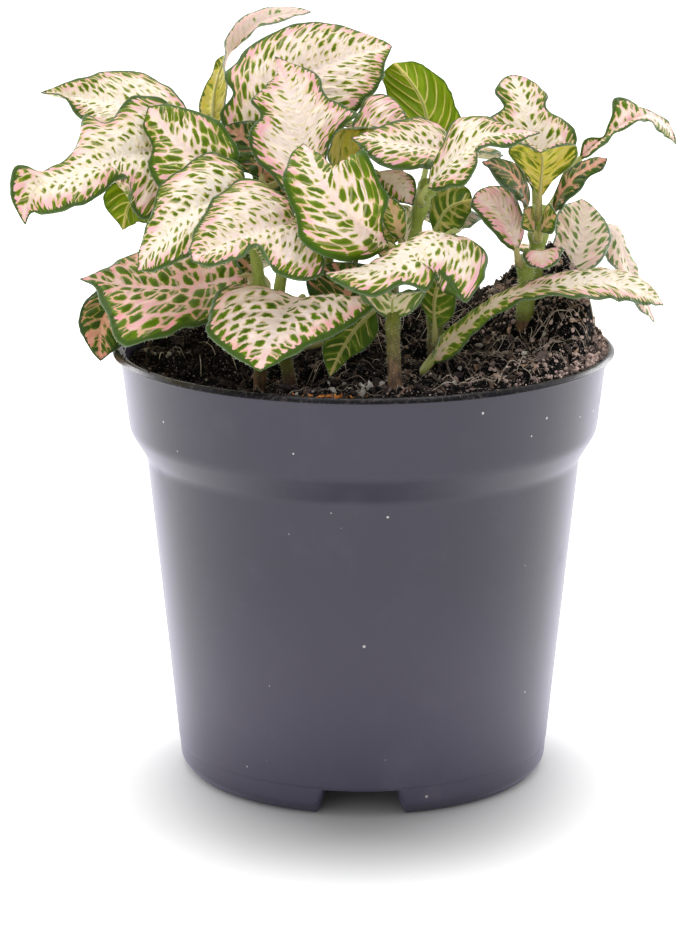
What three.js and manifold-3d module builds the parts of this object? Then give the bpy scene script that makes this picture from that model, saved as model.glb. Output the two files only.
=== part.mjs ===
// A nerve plant (Fittonia) in a plastic nursery pot, in millimetres with +Z up. The origin is on the
// pot's axis at the surface it stands on, and the plant's front faces -Y.
import * as THREE from 'three';
import { mergeVertices } from 'three/addons/utils/BufferGeometryUtils.js';
import Module from 'manifold-3d';

const wasm = await Module();
wasm.setup();

// ---------------------------------------------------------------------------- driving dimensions
const GAP = 0.3; // air kept between two pieces that touch

const POT = {
  footRadius: 42.8, // outer radius at the foot
  stepRadius: 52.1, // outer radius where the straight taper ends
  collarRadius: 56.1, // outer radius just above the step
  rimRadius: 60, // outer radius of the rim, a 12 cm pot
  stepLow: 77.8,
  stepHigh: 84.4,
  rimLow: 102.7, // underside of the thin lip
  lip: 1.8, // how far it stands out
  height: 104,
  wall: 1.2,
  rimWidth: 3.2,
  footWidth: 2.6,
  floorUnder: 7.4, // underside of the raised floor
  floorTop: 9,
  segments: 48,
};
const NOTCH = {
  bottomWidth: 22,
  topWidth: 17.7,
  height: 6.6,
  corner: 1.2,
  depth: 9,
  angles: [-91, 29, 149], // degrees around the foot, the first at the front
};
const DRAIN = { centreRadius: 5, ringRadius: 4, ringAt: 27, count: 6 };

const SOIL = {
  level: 101.5,
  edgeLevel: 100.6, // where the soil meets the pot's wall
  mound: { x: 37, y: 15, wide: 25, deep: 25, rise: 12 },
  hummock: { x: -4, y: 24, wide: 28, deep: 22, rise: 4 },
  hollow: { x: -31, y: -27, wide: 17, deep: 15, rise: -11 },
  clod: 0.9, // height of the lumps
  edgeBand: 9, // width of the band that slopes down to the wall
  wallGap: 0.5, // air to the pot's wall, which is cut in flats
  rings: 9,
  segments: 44,
};

const STEM = {
  radius: 1.55,
  topRadius: 1.25,
  sides: 8,
  step: 6, // length of each band
  rootDepth: 15,
  holeSides: 12,
  places: 60, // places tried for the joint of a stalk
};
const LEAF = {
  thickness: 0.7,
  bands: 8, // from base to tip
  columns: 4, // from edge to edge
  start: 0.06, // the blade's first and last bands, as shares of its length
  end: 0.965,
  stalkRadius: 0.85,
  stalkDrop: 3, // how far below its blade a stalk leaves the stem
  reach: 0.35, // how far a stalk runs straight at each end, as a share of its length
  reachPerBend: 0.12,
  reachMost: 0.7,
  turnPerBand: 0.65,
};

// Each stem's way through the air, from the soil up.
const STEMS = {
  stem_front: [[7, -42, 101], [6.5, -37, 114], [6.5, -30, 120.5], [6.5, -23, 126], [6, -20, 130.5]],
  stem_centre: [
    [17.5, -13, 104.5], [16.5, -11, 113], [14, -8, 123.5], [12, -6, 132.5], [13.5, -8, 139],
    [15, -5, 142.5],
  ],
  stem_right: [[41, 6, 102], [41.5, 6, 113], [41.5, 5, 125.5], [42, 3, 135]],
  stem_right_small: [[37, -2, 104], [36.5, -2, 115], [36.5, -3, 124.5]],
  stem_left_front: [[-24.5, -16, 112], [-24.5, -17, 123], [-26, -14, 133], [-26, -13, 140.5]],
  stem_left_mid: [[-17, -22, 112], [-19.5, -22, 122.5], [-17.5, -20, 131], [-14.5, -20, 135.5]],
  stem_middle: [[-7, 4, 108], [-8.5, -2, 124.5], [-10, -5, 136.5], [-15.5, 0, 146.5], [-18.5, 3, 148]],
  stem_left_back: [[-31, 10, 115.5], [-33.5, 8, 130.5], [-37, 9, 143.5], [-38, 16, 151]],
  stem_left_low: [[-36, 18, 108.5], [-37.5, 16, 116], [-39, 15, 121.5]],
  stem_back: [[-3.5, 34, 108], [-2.5, 31, 118], [-0.5, 27, 129], [0.5, 25, 135.5]],
  stem_right_back: [[45, 20, 104], [48, 22, 111], [50.5, 26, 116], [53, 30, 119]],
};

// Each blade: the stem that bears it, its base and tip, and points along its left and right edges as
// seen from above looking to the tip, with points of the rib where it bends more than its edges.
const LEAVES = [
  {
    name: 'leaf_left_top', stem: 'stem_left_back', base: [-42, 16, 157.5], tip: [-77, 10, 163],
    left: [[-48, 9, 153.5], [-56.5, 6, 152.5], [-66, 6, 156], [-71.5, 8, 162]],
    right: [[-47, 26, 162], [-52.5, 29, 164.5], [-62, 27, 166], [-67.5, 20, 165.5]],
  },
  {
    name: 'leaf_left_wide', stem: 'stem_left_back', base: [-47.5, -1, 151.5], tip: [-77.5, -30, 138],
    bands: 11,
    left: [
      [-48.5, -14, 138.5], [-52, -16, 137], [-54, -17, 140.5], [-53.5, -14, 145.5], [-57, -17, 146.5],
      [-60.5, -21, 143.5], [-66.5, -29, 142], [-74, -29, 140.5], [-75.5, -29, 141],
    ],
    right: [
      [-46.5, 4, 161], [-49.5, 3, 163], [-54.5, 0, 163], [-61, -4, 158], [-65, -4, 159.5],
      [-66.5, -7, 155], [-69.5, -14, 150.5], [-75, -21, 149], [-79.5, -28, 151], [-80.5, -30, 145],
    ],
    rib: [[-56.5, -10, 151], [-67, -20, 148], [-75.5, -26, 145.5]],
  },
  {
    name: 'leaf_left_upright', stem: 'stem_left_front', base: [-31.5, -12, 147], tip: [-50.5, -4, 161.5],
    left: [[-38, -19, 144], [-46.5, -18, 144.5], [-50, -14, 148], [-49.5, -9, 153], [-51.5, -5, 158]],
    right: [[-29.5, -9, 151], [-33.5, -5, 157.5], [-41, -3, 161], [-47, -3, 162]],
  },
  {
    name: 'leaf_left_mid', stem: 'stem_left_front', base: [-27, -18, 143.5], tip: [-51.5, -39, 129],
    left: [[-31, -32, 136], [-39, -39, 133], [-46, -42, 130]],
    right: [
      [-28.5, -15, 148.5], [-35.5, -14, 152.5], [-41.5, -18, 149.5], [-47, -22, 146], [-48.5, -27, 141],
      [-51, -33, 134.5],
    ],
  },
  {
    name: 'leaf_front_left', stem: 'stem_left_mid', base: [-16, -26, 138], tip: [-38.5, -51, 133.5],
    left: [
      [-9, -35, 132], [-10, -39, 127.5], [-14.5, -43, 127.5], [-20.5, -45, 130.5], [-23.5, -42, 135.5],
      [-28, -51, 134], [-34.5, -54, 133],
    ],
    right: [
      [-17, -23, 142], [-22, -20, 145.5], [-27.5, -20, 147], [-34, -27, 144], [-37.5, -37, 140],
      [-39.5, -45, 136],
    ],
  },
  {
    name: 'leaf_crown', stem: 'stem_middle', base: [-22, 6, 152.5], tip: [7, 23, 172.5],
    left: [
      [-32, 7, 154.5], [-34, 8, 157.5], [-31.5, 11, 163], [-33, 14, 166], [-29, 20, 171],
      [-23.5, 23, 175], [-14, 26, 178], [-4, 27, 176.5], [3, 26, 174.5],
    ],
    right: [[-11.5, 4, 151], [-3.5, 8, 156.5], [0, 11, 160.5], [4, 15, 164.5], [5.5, 19, 169]],
  },
  {
    name: 'leaf_crown_curled', stem: 'stem_left_back', base: [-36, 22, 152.5], tip: [-12.5, 30, 180],
    left: [
      [-33.5, 20, 157], [-33, 20, 163.5], [-33.5, 23, 168], [-32.5, 28, 175.5], [-26.5, 31, 180],
      [-18, 32, 181],
    ],
    right: [
      [-40, 28, 156], [-38, 30, 162.5], [-35.5, 30, 168], [-30.5, 29, 171.5], [-25, 28, 176.5],
      [-18, 28, 178.5],
    ],
    rib: [[-36, 25, 160], [-33.5, 27, 168], [-28, 29, 175.5]],
  },
  {
    name: 'leaf_centre_pale', stem: 'stem_middle', base: [-12, -13, 143.5], tip: [-21, 7, 172],
    left: [
      [-18, -15, 143.5], [-22.5, -12, 147.5], [-26.5, -7, 152], [-26.5, -5, 156.5], [-24, -3, 159],
      [-26.5, 1, 162.5], [-23, 3, 165.5], [-20.5, 5, 167.5],
    ],
    right: [
      [-9, -12, 148], [-7.5, -9, 154], [-5.5, -7, 156.5], [-1.5, -4, 160], [-4.5, -2, 161.5],
      [-9.5, 1, 164], [-10, 4, 167], [-14.5, 6, 169.5],
    ],
  },
  {
    name: 'leaf_centre_curled', stem: 'stem_middle', base: [-4.5, -8, 146], tip: [10, 2, 157],
    left: [[-4, -2, 153.5], [-1.5, 4, 158.5], [1.5, 9, 162.5], [6.5, 9, 162], [9.5, 6, 159.5]],
    right: [[-8, -14, 151], [-7, -15, 157], [1.5, -8, 157]],
    rib: [[-0.5, -4, 152]],
  },
  {
    name: 'leaf_centre_spotted', stem: 'stem_front', base: [6, -26, 132.5], tip: [-14, -21, 155.5],
    left: [
      [1.5, -32, 131], [-4.5, -38, 131], [-10, -41, 133.5], [-14.5, -40, 136.5], [-15.5, -37, 140.5],
      [-17.5, -33, 145], [-18.5, -29, 149], [-17, -23, 153],
    ],
    right: [
      [4, -31, 139], [5, -32, 145.5], [2.5, -31, 150.5], [-1, -29, 155], [-3.5, -27, 152],
      [-5.5, -26, 150], [-9, -23, 152],
    ],
  },
  {
    name: 'leaf_centre_right', stem: 'stem_centre', base: [20.5, 0, 150], tip: [-3, -16, 156],
    left: [[17, -9, 148.5], [10, -18, 149], [4, -22, 150.5], [0, -20, 153.5]],
    right: [[18, 5, 156], [12, 2, 158], [6, -4, 157.5], [1, -10, 156.5]],
  },
  {
    name: 'leaf_centre_twisted', stem: 'stem_centre', base: [14.5, -15, 144], tip: [40, -28, 159],
    left: [[16, -12, 149], [18.5, -9, 154], [22.5, -4, 159], [28, -7, 159.5], [33.5, -18, 159]],
    right: [[19, -22, 145], [23.5, -26, 147.5], [26, -27, 152], [25.5, -26, 154], [33, -28, 156]],
  },
  {
    name: 'leaf_back_upright', stem: 'stem_centre', base: [15.5, 16, 148], tip: [7.5, 27, 168],
    left: [[23.5, 17, 154], [22.5, 21, 159], [19.5, 25, 164], [14, 28, 167.5]],
    right: [[8, 21, 155.5], [5.5, 25, 161], [5, 27, 165.5]],
  },
  {
    name: 'leaf_front_right', stem: 'stem_front', base: [19.5, -24, 135], tip: [-9, -44, 129.5],
    bands: 11,
    left: [
      [27.5, -27, 132], [27, -33, 126.5], [22.5, -40, 122], [19.5, -38, 125], [17, -37, 127.5],
      [14, -42, 125.5], [8, -45, 127], [2, -50, 125.5], [-4, -50, 127],
    ],
    right: [[15.5, -23, 135.5], [9, -27, 133.5], [1, -35, 130]],
    rib: [[11.5, -33, 132.5], [2, -40, 129.5]],
  },
  {
    name: 'leaf_front_low', stem: 'stem_left_mid', base: [-14.5, -29, 121], tip: [-23.5, -54, 109],
    left: [[-6.5, -29, 120], [2.5, -33, 121], [-2.5, -41, 117], [-9.5, -46, 114.5], [-16.5, -51, 112]],
    right: [
      [-23, -28, 122], [-30.5, -32, 124.5], [-35.5, -40, 120.5], [-35.5, -46, 116.5],
      [-30.5, -51, 112.5],
    ],
  },
  {
    name: 'leaf_left_low', stem: 'stem_left_front', base: [-28, -13, 123], tip: [-66, -22, 124],
    left: [
      [-29, -19, 118.5], [-36.5, -28, 114.5], [-42, -34, 114.5], [-48.5, -39, 113], [-54.5, -41, 112.5],
      [-59, -35, 118.5], [-62.5, -27, 123],
    ],
    right: [[-33, -4, 128], [-43, 0, 129.5], [-54.5, -6, 127], [-61.5, -15, 124.5]],
  },
  {
    name: 'leaf_left_hanging', stem: 'stem_left_low', base: [-53.5, 2, 117.5], tip: [-62.5, -8, 101.5],
    left: [[-55.5, -2, 111], [-57.5, -6, 105.5]],
    right: [[-63, 2, 117], [-67.5, -2, 112.5], [-66.5, -6, 106.5]],
  },
  {
    name: 'leaf_left_under', stem: 'stem_left_back', base: [-50, 10, 138], tip: [-57, -2, 132],
    left: [[-55.5, 6, 143], [-61.5, 0, 140]],
    right: [[-50.5, 8, 132.5], [-54, 2, 133]],
  },
  {
    name: 'leaf_left_small', stem: 'stem_middle', base: [-24, -6, 145], tip: [-33.5, 2, 156],
    left: [[-28.5, -4, 146.5], [-31.5, 0, 151]],
    right: [[-23, 0, 151.5], [-24.5, 3, 157.5], [-29.5, 3, 157]],
  },
  {
    name: 'leaf_right_top', stem: 'stem_right', base: [41, 8, 139], tip: [36, 20, 166],
    left: [[35, 6, 149], [30, 9, 157], [33.5, 12, 159.5], [31.5, 16, 162.5], [33.5, 19, 165]],
    right: [
      [47.5, 8, 145.5], [51, 10, 151.5], [48.5, 12, 156], [43.5, 14, 159], [44.5, 17, 161],
      [39.5, 20, 165],
    ],
  },
  {
    name: 'leaf_right_cup', stem: 'stem_right', base: [41.5, -3, 139.5], tip: [40.5, -22, 153.5],
    left: [[44.5, -8, 144.5], [49, -13, 150.5], [48.5, -19, 155]],
    right: [[38.5, -8, 145.5], [33.5, -13, 152], [35, -19, 155]],
  },
  {
    name: 'leaf_right_curled', stem: 'stem_right', base: [52, 14, 146.5], tip: [78.5, 47, 145],
    left: [[53.5, 14, 151.5], [57.5, 17, 151.5], [61.5, 25, 159.5], [69, 32, 156], [75, 39, 152.5]],
    right: [[54.5, 12, 147.5], [60, 17, 151.5], [68.5, 26, 154], [73.5, 36, 149.5]],
    rib: [[58, 18, 151], [69, 30, 154.5]],
  },
  {
    name: 'leaf_right_inner', stem: 'stem_right_small', base: [36, -7, 128], tip: [26, -5, 141],
    left: [[32.5, -9, 130], [28.5, -9, 135], [25.5, -7, 138.5]],
    right: [[37.5, -3, 130.5], [37.5, -1, 136], [34.5, 2, 141], [30, 0, 142.5]],
  },
  {
    name: 'leaf_right_small', stem: 'stem_right_small', base: [41.5, -9, 128], tip: [41.5, -18, 125.5],
    left: [[46, -10, 129], [45.5, -16, 127]],
    right: [[38, -10, 128], [38.5, -15, 126]],
  },
  {
    name: 'leaf_right_shaded', stem: 'stem_right', base: [39, 2, 136.5], tip: [27.5, -10, 149.5],
    left: [[35, -8, 141.5], [30, -14, 147]],
    right: [[39, 2, 142.5], [35, 0, 148], [30.5, -5, 149.5]],
  },
  {
    name: 'leaf_right_narrow', stem: 'stem_right', base: [45, 2, 135.5], tip: [58, 5, 148],
    left: [[46.5, 2, 143], [52.5, 6, 147.5]],
    right: [[47.5, -4, 138.5], [51, -4, 142], [53.5, 0, 144.5], [56.5, 2, 145.5]],
  },
  {
    name: 'leaf_right_back', stem: 'stem_right_back', base: [48, 16, 115], tip: [56.5, 31, 132.5],
    left: [[46.5, 24, 123.5], [49, 30, 131.5]],
    right: [[53, 15, 115.5], [59.5, 20, 119.5], [59, 28, 127.5]],
  },
  {
    name: 'leaf_right_drooping', stem: 'stem_right_back', base: [58.5, 38, 126.5], tip: [72.5, 30, 103],
    left: [[63, 42, 125.5], [68, 40, 116], [71, 35, 108.5]],
    right: [[59.5, 37, 120.5], [62.5, 33, 116], [67, 29, 108.5]],
    rib: [[62, 39, 124.5], [66.5, 37, 115]],
  },
  {
    name: 'leaf_right_long', stem: 'stem_centre', base: [15.5, -27, 105], tip: [72, 2, 113],
    left: [
      [17.5, -24, 110.5], [23.5, -21, 115], [29, -17, 118], [37, -12, 121], [50, 1, 121.5],
      [60, 8, 120.5], [68.5, 7, 117],
    ],
    right: [
      [20, -30, 110], [25, -29, 114], [28, -26, 116.5], [31.5, -23, 118.5], [39, -24, 120.5],
      [48.5, -21, 119.5], [58, -14, 117.5], [67.5, -4, 114.5],
    ],
    rib: [[20, -27, 110.5], [25, -25, 114.5], [30.5, -20, 118], [46.5, -10, 120], [61.5, -3, 118.5]],
  },
  {
    name: 'leaf_centre_under', stem: 'stem_centre', base: [16.5, -3, 131.5], tip: [26, 5, 138],
    left: [[22.5, 1, 131.5], [25.5, 4, 135]],
    right: [[16, 1, 139.5], [20.5, 6, 142], [24.5, 7, 141]],
  },
  {
    name: 'leaf_centre_bud', stem: 'stem_front', base: [8.5, -17, 132], tip: [5, -21, 143.5],
    left: [[4.5, -21, 136.5], [3.5, -23, 140.5]],
    right: [[10, -18, 136], [8.5, -20, 141]],
  },
  {
    name: 'leaf_front_inner', stem: 'stem_front', base: [2.5, -25, 117.5], tip: [-8, -37, 104],
    left: [[-3, -28, 116.5], [-9.5, -36, 111]],
    right: [[3, -25, 113], [0.5, -29, 109.5], [-4, -33, 107]],
  },
  {
    name: 'leaf_soil_right', stem: 'stem_centre', base: [16.5, -20, 111.5], tip: [19, -13, 124.5],
    left: [[20, -20, 114], [21, -17, 119.5]],
    right: [[14.5, -20, 115], [12, -18, 120]],
  },
  {
    name: 'leaf_centre_small', stem: 'stem_middle', base: [3, -4, 146], tip: [11.5, -12, 139.5],
    left: [[8, -2, 146.5], [12, -8, 144]],
    right: [[4, -8, 143], [7.5, -12, 140.5]],
  },
  {
    name: 'leaf_inner_shaded', stem: 'stem_left_mid', base: [-5, -19, 113], tip: [-7.5, -11, 126],
    left: [[-11.5, -15, 117], [-13.5, -12, 121.5]],
    right: [[3.5, -17, 117], [3, -10, 124]],
  },
  {
    name: 'leaf_back_left', stem: 'stem_left_low', base: [-30, 20, 137], tip: [-49.5, 48, 126],
    left: [[-44.5, 20, 137], [-51.5, 31, 133]],
    right: [[-25, 33.5, 137], [-33, 44, 133]],
    rib: [[-40, 34.5, 132.5]],
  },
  {
    name: 'leaf_back_middle', stem: 'stem_back', base: [-10, 31, 132], tip: [-13.5, 58.5, 121],
    left: [[-22, 36.5, 132], [-22.5, 47.5, 128]],
    right: [[0, 39.5, 132], [-1.5, 50, 128]],
    rib: [[-11.5, 45.5, 127.5]],
  },
  {
    name: 'leaf_back_right', stem: 'stem_back', base: [12, 27, 131], tip: [24, 56, 121],
    left: [[4.5, 38.5, 131], [9.5, 49.5, 127.5]],
    right: [[25.5, 30, 131], [29.5, 41, 127.5]],
    rib: [[18, 42, 127]],
  },
  {
    name: 'leaf_back_high_right', stem: 'stem_back', base: [12, 22, 145], tip: [34, 46.5, 141.5],
    left: [[9, 35, 146.5], [17.5, 44, 145.5]],
    right: [[25, 20, 146.5], [33, 30, 145.5]],
    rib: [[23, 34.5, 144.5]],
  },
  {
    name: 'leaf_back_crown', stem: 'stem_middle', base: [-14, 17, 156], tip: [-21.5, 51.5, 149.5],
    left: [[-27.5, 22.5, 157], [-29.5, 36, 155]],
    right: [[-4, 27.5, 157], [-7.5, 40.5, 155]],
    rib: [[-17.5, 34.5, 154]],
  },
  {
    name: 'leaf_back_top', stem: 'stem_back', base: [2, 24, 151], tip: [9, 56, 145.5],
    left: [[-7, 33.5, 152], [-3.5, 45.5, 150.5]],
    right: [[14, 29, 152], [16, 41.5, 150.5]],
    rib: [[5.5, 40, 149.5]],
  },
  {
    name: 'leaf_back_far_left', stem: 'stem_left_back', base: [-40, 20, 149], tip: [-69.5, 36, 144.5],
    left: [[-52, 14, 150.5], [-63, 20.5, 149]],
    right: [[-41.5, 33.5, 150.5], [-53.5, 39, 149]],
    rib: [[-55, 28, 148]],
  },
  {
    name: 'leaf_back_low_left', stem: 'stem_left_low', base: [-38, 22, 119], tip: [-65.5, 33, 110],
    left: [[-48.5, 15, 119.5], [-59, 19.5, 116]],
    right: [[-40.5, 34.5, 119.5], [-51.5, 38.5, 116]],
    rib: [[-52, 27.5, 115.5]],
  },
  {
    name: 'leaf_back_low', stem: 'stem_back', base: [-14, 37, 118], tip: [-27, 58, 111],
    left: [[-24.5, 37.5, 118.5], [-29.5, 46, 116.5]],
    right: [[-10, 47, 118.5], [-15, 55, 116.5]],
    rib: [[-21, 48, 115.5]],
  },
  {
    name: 'leaf_back_low_right', stem: 'stem_back', base: [6, 37, 118], tip: [17, 58, 110.5],
    left: [[1, 46.5, 118.5], [5.5, 54.5, 116]],
    right: [[16.5, 38, 118.5], [20.5, 46.5, 116]],
    rib: [[12, 48, 115.5]],
  },
  {
    name: 'leaf_back_side_right', stem: 'stem_right_back', base: [50, 31, 110], tip: [62.5, 52.5, 107.5],
    left: [[45.5, 40, 112], [50.5, 48, 111]],
    right: [[60, 32, 112], [64.5, 40, 111]],
    rib: [[56.5, 42, 110]],
  },
  {
    name: 'leaf_back_far_right', stem: 'stem_right_back', base: [48, 31, 118], tip: [45, 57.5, 115],
    left: [[38.5, 36, 120], [38, 46.5, 119]],
    right: [[56, 38, 120], [54.5, 48, 119]],
    rib: [[46.5, 44.5, 118]],
  },
];

// ------------------------------------------------------------------------------------- materials
const COLOURS = {
  pot: { color: 0x5c5a66, roughness: 0.42, metalness: 0 },
  soil: { color: 0x2b2522, roughness: 0.95, metalness: 0 },
  stem: { color: 0x6d6f2c, roughness: 0.6, metalness: 0 },
  leaf: { color: 0xe3dcc0, roughness: 0.55, metalness: 0 },
};

const object = new THREE.Group();

function addMesh(name, geometry, look) {
  const mesh = new THREE.Mesh(geometry, new THREE.MeshStandardMaterial(COLOURS[look]));
  mesh.name = name;
  object.add(mesh);
}

// ------------------------------------------------------------------------------ solids and cuts
const vec = ([x, y, z]) => new THREE.Vector3(x, y, z);

// A closed geometry as a solid for cutting and joining.
function toSolid(geometry) {
  const bare = geometry.clone();
  bare.deleteAttribute('normal');
  bare.deleteAttribute('uv');
  const merged = mergeVertices(bare, 1e-4);
  const index = merged.index.array;
  const kept = [];
  for (let i = 0; i < index.length; i += 3) {
    const [a, b, c] = [index[i], index[i + 1], index[i + 2]];
    if (a !== b && b !== c && c !== a) kept.push(a, b, c);
  }
  const vertProperties = new Float32Array(merged.attributes.position.array);
  return new wasm.Manifold(new wasm.Mesh({ numProp: 3, vertProperties, triVerts: new Uint32Array(kept) }));
}

function toGeometry(solid) {
  const mesh = solid.getMesh();
  const geometry = new THREE.BufferGeometry();
  geometry.setAttribute('position', new THREE.BufferAttribute(new Float32Array(mesh.vertProperties), 3));
  geometry.setIndex(new THREE.BufferAttribute(new Uint32Array(mesh.triVerts), 1));
  geometry.computeVertexNormals();
  return geometry;
}

// A solid skinned over rings of points. Each ring runs left to right over the top and back under it,
// and the lower half is split into triangles as the upper half is.
function skin(rings) {
  const count = rings[0].length;
  const positions = rings.flat().flatMap((p) => [p.x, p.y, p.z]);
  const index = [];
  for (let i = 0; i < rings.length - 1; i++) {
    for (let j = 0; j < count; j++) {
      const next = (j + 1) % count;
      const [a, b, c, d] = [i * count + j, i * count + next, (i + 1) * count + j, (i + 1) * count + next];
      if (j < count / 2) index.push(a, b, c, b, d, c);
      else index.push(a, b, d, a, d, c);
    }
  }
  const last = (rings.length - 1) * count;
  for (let j = 0; j < count / 2 - 1; j++) { // each end is closed from its upper half to its lower half
    const [a, b, c, d] = [j, j + 1, count - 1 - j, count - 2 - j];
    index.push(a, c, b, b, c, d, last + a, last + b, last + c, last + b, last + d, last + c);
  }
  const geometry = new THREE.BufferGeometry();
  geometry.setAttribute('position', new THREE.Float32BufferAttribute(positions, 3));
  geometry.setIndex(index);
  geometry.computeVertexNormals();
  return geometry;
}

// A curve through points, as a function of u from 0 to 1 in proportion to the distance between them.
function curveThrough(points) {
  const knots = [0];
  for (let i = 1; i < points.length; i++) knots.push(knots[i - 1] + points[i].distanceTo(points[i - 1]));
  const slope = (i) => points[i + 1].clone().sub(points[i]).divideScalar(knots[i + 1] - knots[i]);
  const last = points.length - 1;
  const tangents = points.map((p, i) => {
    if (i === 0 || i === last) return null;
    const [before, after] = [knots[i] - knots[i - 1], knots[i + 1] - knots[i]];
    return slope(i - 1).multiplyScalar(after).addScaledVector(slope(i), before).divideScalar(before + after);
  });
  const end = (i, neighbour) => {
    const chord = slope(Math.min(i, neighbour));
    return last === 1 ? chord : chord.multiplyScalar(1.5).addScaledVector(tangents[neighbour], -0.5);
  };
  tangents[0] = end(0, 1);
  tangents[last] = end(last, last - 1);
  return (u) => {
    const along = THREE.MathUtils.clamp(u, 0, 1) * knots[last];
    let i = 0;
    while (i < last - 1 && along > knots[i + 1]) i++;
    const span = knots[i + 1] - knots[i];
    const t = (along - knots[i]) / span;
    return points[i].clone().multiplyScalar((1 + 2 * t) * (1 - t) ** 2)
      .addScaledVector(tangents[i], span * t * (1 - t) ** 2)
      .addScaledVector(points[i + 1], t * t * (3 - 2 * t))
      .addScaledVector(tangents[i + 1], span * t * t * (t - 1));
  };
}

const directionAt = (curve, u) => curve(u + 0.01).sub(curve(u - 0.01)).normalize();

// --------------------------------------------------------------------------------------- the pot
const insideFoot = POT.footRadius + 2.6 - POT.wall; // radius of the inside just above the floor
const footBead = 1.2; // how far the foot ring stands in from the wall

// A thin tapered wall with a stepped collar and a thin lip, over a raised floor and a foot ring.
function potGeometry() {
  const p = POT;
  const outside = [
    [p.footRadius - footBead, 0],
    [p.footRadius, 0.5],
    [p.footRadius + 1.8, 2.6],
    [p.stepRadius, p.stepLow],
    [p.collarRadius, p.stepHigh],
    [p.rimRadius - p.lip, p.rimLow - 0.1],
    [p.rimRadius, p.rimLow + 0.1],
    [p.rimRadius, p.height - 0.8],
    [p.rimRadius - 0.9, p.height],
  ];
  const inside = [
    [p.rimRadius - p.rimWidth + 1.4, p.height],
    [p.rimRadius - p.rimWidth, p.height - 1.1],
    [p.rimRadius - p.rimWidth - 0.2, p.height - 6],
    [p.collarRadius - p.wall, p.stepHigh],
    [p.stepRadius - p.wall, p.stepLow],
    [insideFoot, p.floorTop],
    [0, p.floorTop],
  ];
  const under = [
    [0, p.floorUnder],
    [p.footRadius - footBead - p.footWidth, p.floorUnder],
    [p.footRadius - footBead - p.footWidth, 0],
  ];
  const profile = [...under, ...outside, ...inside].map(([r, z]) => new THREE.Vector2(r, z));
  const body = new THREE.LatheGeometry(profile, p.segments, Math.PI / p.segments).rotateX(Math.PI / 2);
  let solid = toSolid(body);
  for (const angle of NOTCH.angles) solid = solid.subtract(toSolid(notchCutter(angle)));
  for (const cutter of drainCutters()) solid = solid.subtract(toSolid(cutter));
  return toGeometry(solid);
}

// The trapezium that is cut from the foot ring, wider at the bottom, with its upper corners eased.
function notchCutter(angle) {
  const [low, high, top, ease] = [NOTCH.bottomWidth / 2, NOTCH.topWidth / 2, NOTCH.height, NOTCH.corner];
  const outline = new THREE.Shape();
  outline.moveTo(-low, -1);
  outline.lineTo(low, -1);
  outline.lineTo(high, top - ease);
  outline.lineTo(high - ease, top);
  outline.lineTo(ease - high, top);
  outline.lineTo(-high, top - ease);
  outline.closePath();
  const cutter = new THREE.ExtrudeGeometry(outline, { depth: NOTCH.depth, bevelEnabled: false, steps: 1 });
  cutter.rotateX(Math.PI / 2); // the outline stands upright and the depth runs to -Y
  cutter.translate(0, NOTCH.depth - POT.footRadius - 3, 0);
  return cutter.rotateZ(THREE.MathUtils.degToRad(angle + 90));
}

function drainCutters() {
  const hole = (radius, x, y) => {
    const cutter = new THREE.CylinderGeometry(radius, radius, 6, 16).rotateX(Math.PI / 2);
    return cutter.translate(x, y, POT.floorTop - 1);
  };
  const cutters = [hole(DRAIN.centreRadius, 0, 0)];
  for (let i = 0; i < DRAIN.count; i++) {
    const angle = (2 * Math.PI * i) / DRAIN.count;
    cutters.push(hole(DRAIN.ringRadius, DRAIN.ringAt * Math.cos(angle), DRAIN.ringAt * Math.sin(angle)));
  }
  return cutters;
}

// -------------------------------------------------------------------------------------- the soil
const bump = ({ x, y, wide, deep, rise }, px, py) =>
  rise * Math.exp(-(((px - x) / wide) ** 2) - ((py - y) / deep) ** 2);

const soilRadius = POT.rimRadius - POT.rimWidth - 0.2 - SOIL.wallGap;

// Height of the soil's surface: a mound, a hummock and a hollow with lumps, eased to the pot's wall.
function soilHeight(x, y) {
  const swells = bump(SOIL.mound, x, y) + bump(SOIL.hummock, x, y) + bump(SOIL.hollow, x, y);
  const lumps = SOIL.clod * (Math.sin(0.31 * x + 1.3) * Math.cos(0.27 * y) + Math.sin(0.53 * y + 0.4 * x));
  const inward = (soilRadius - Math.hypot(x, y)) / SOIL.edgeBand;
  const ease = THREE.MathUtils.smoothstep(inward, 0, 1);
  return THREE.MathUtils.lerp(SOIL.edgeLevel, SOIL.level + swells + lumps, ease);
}

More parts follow.
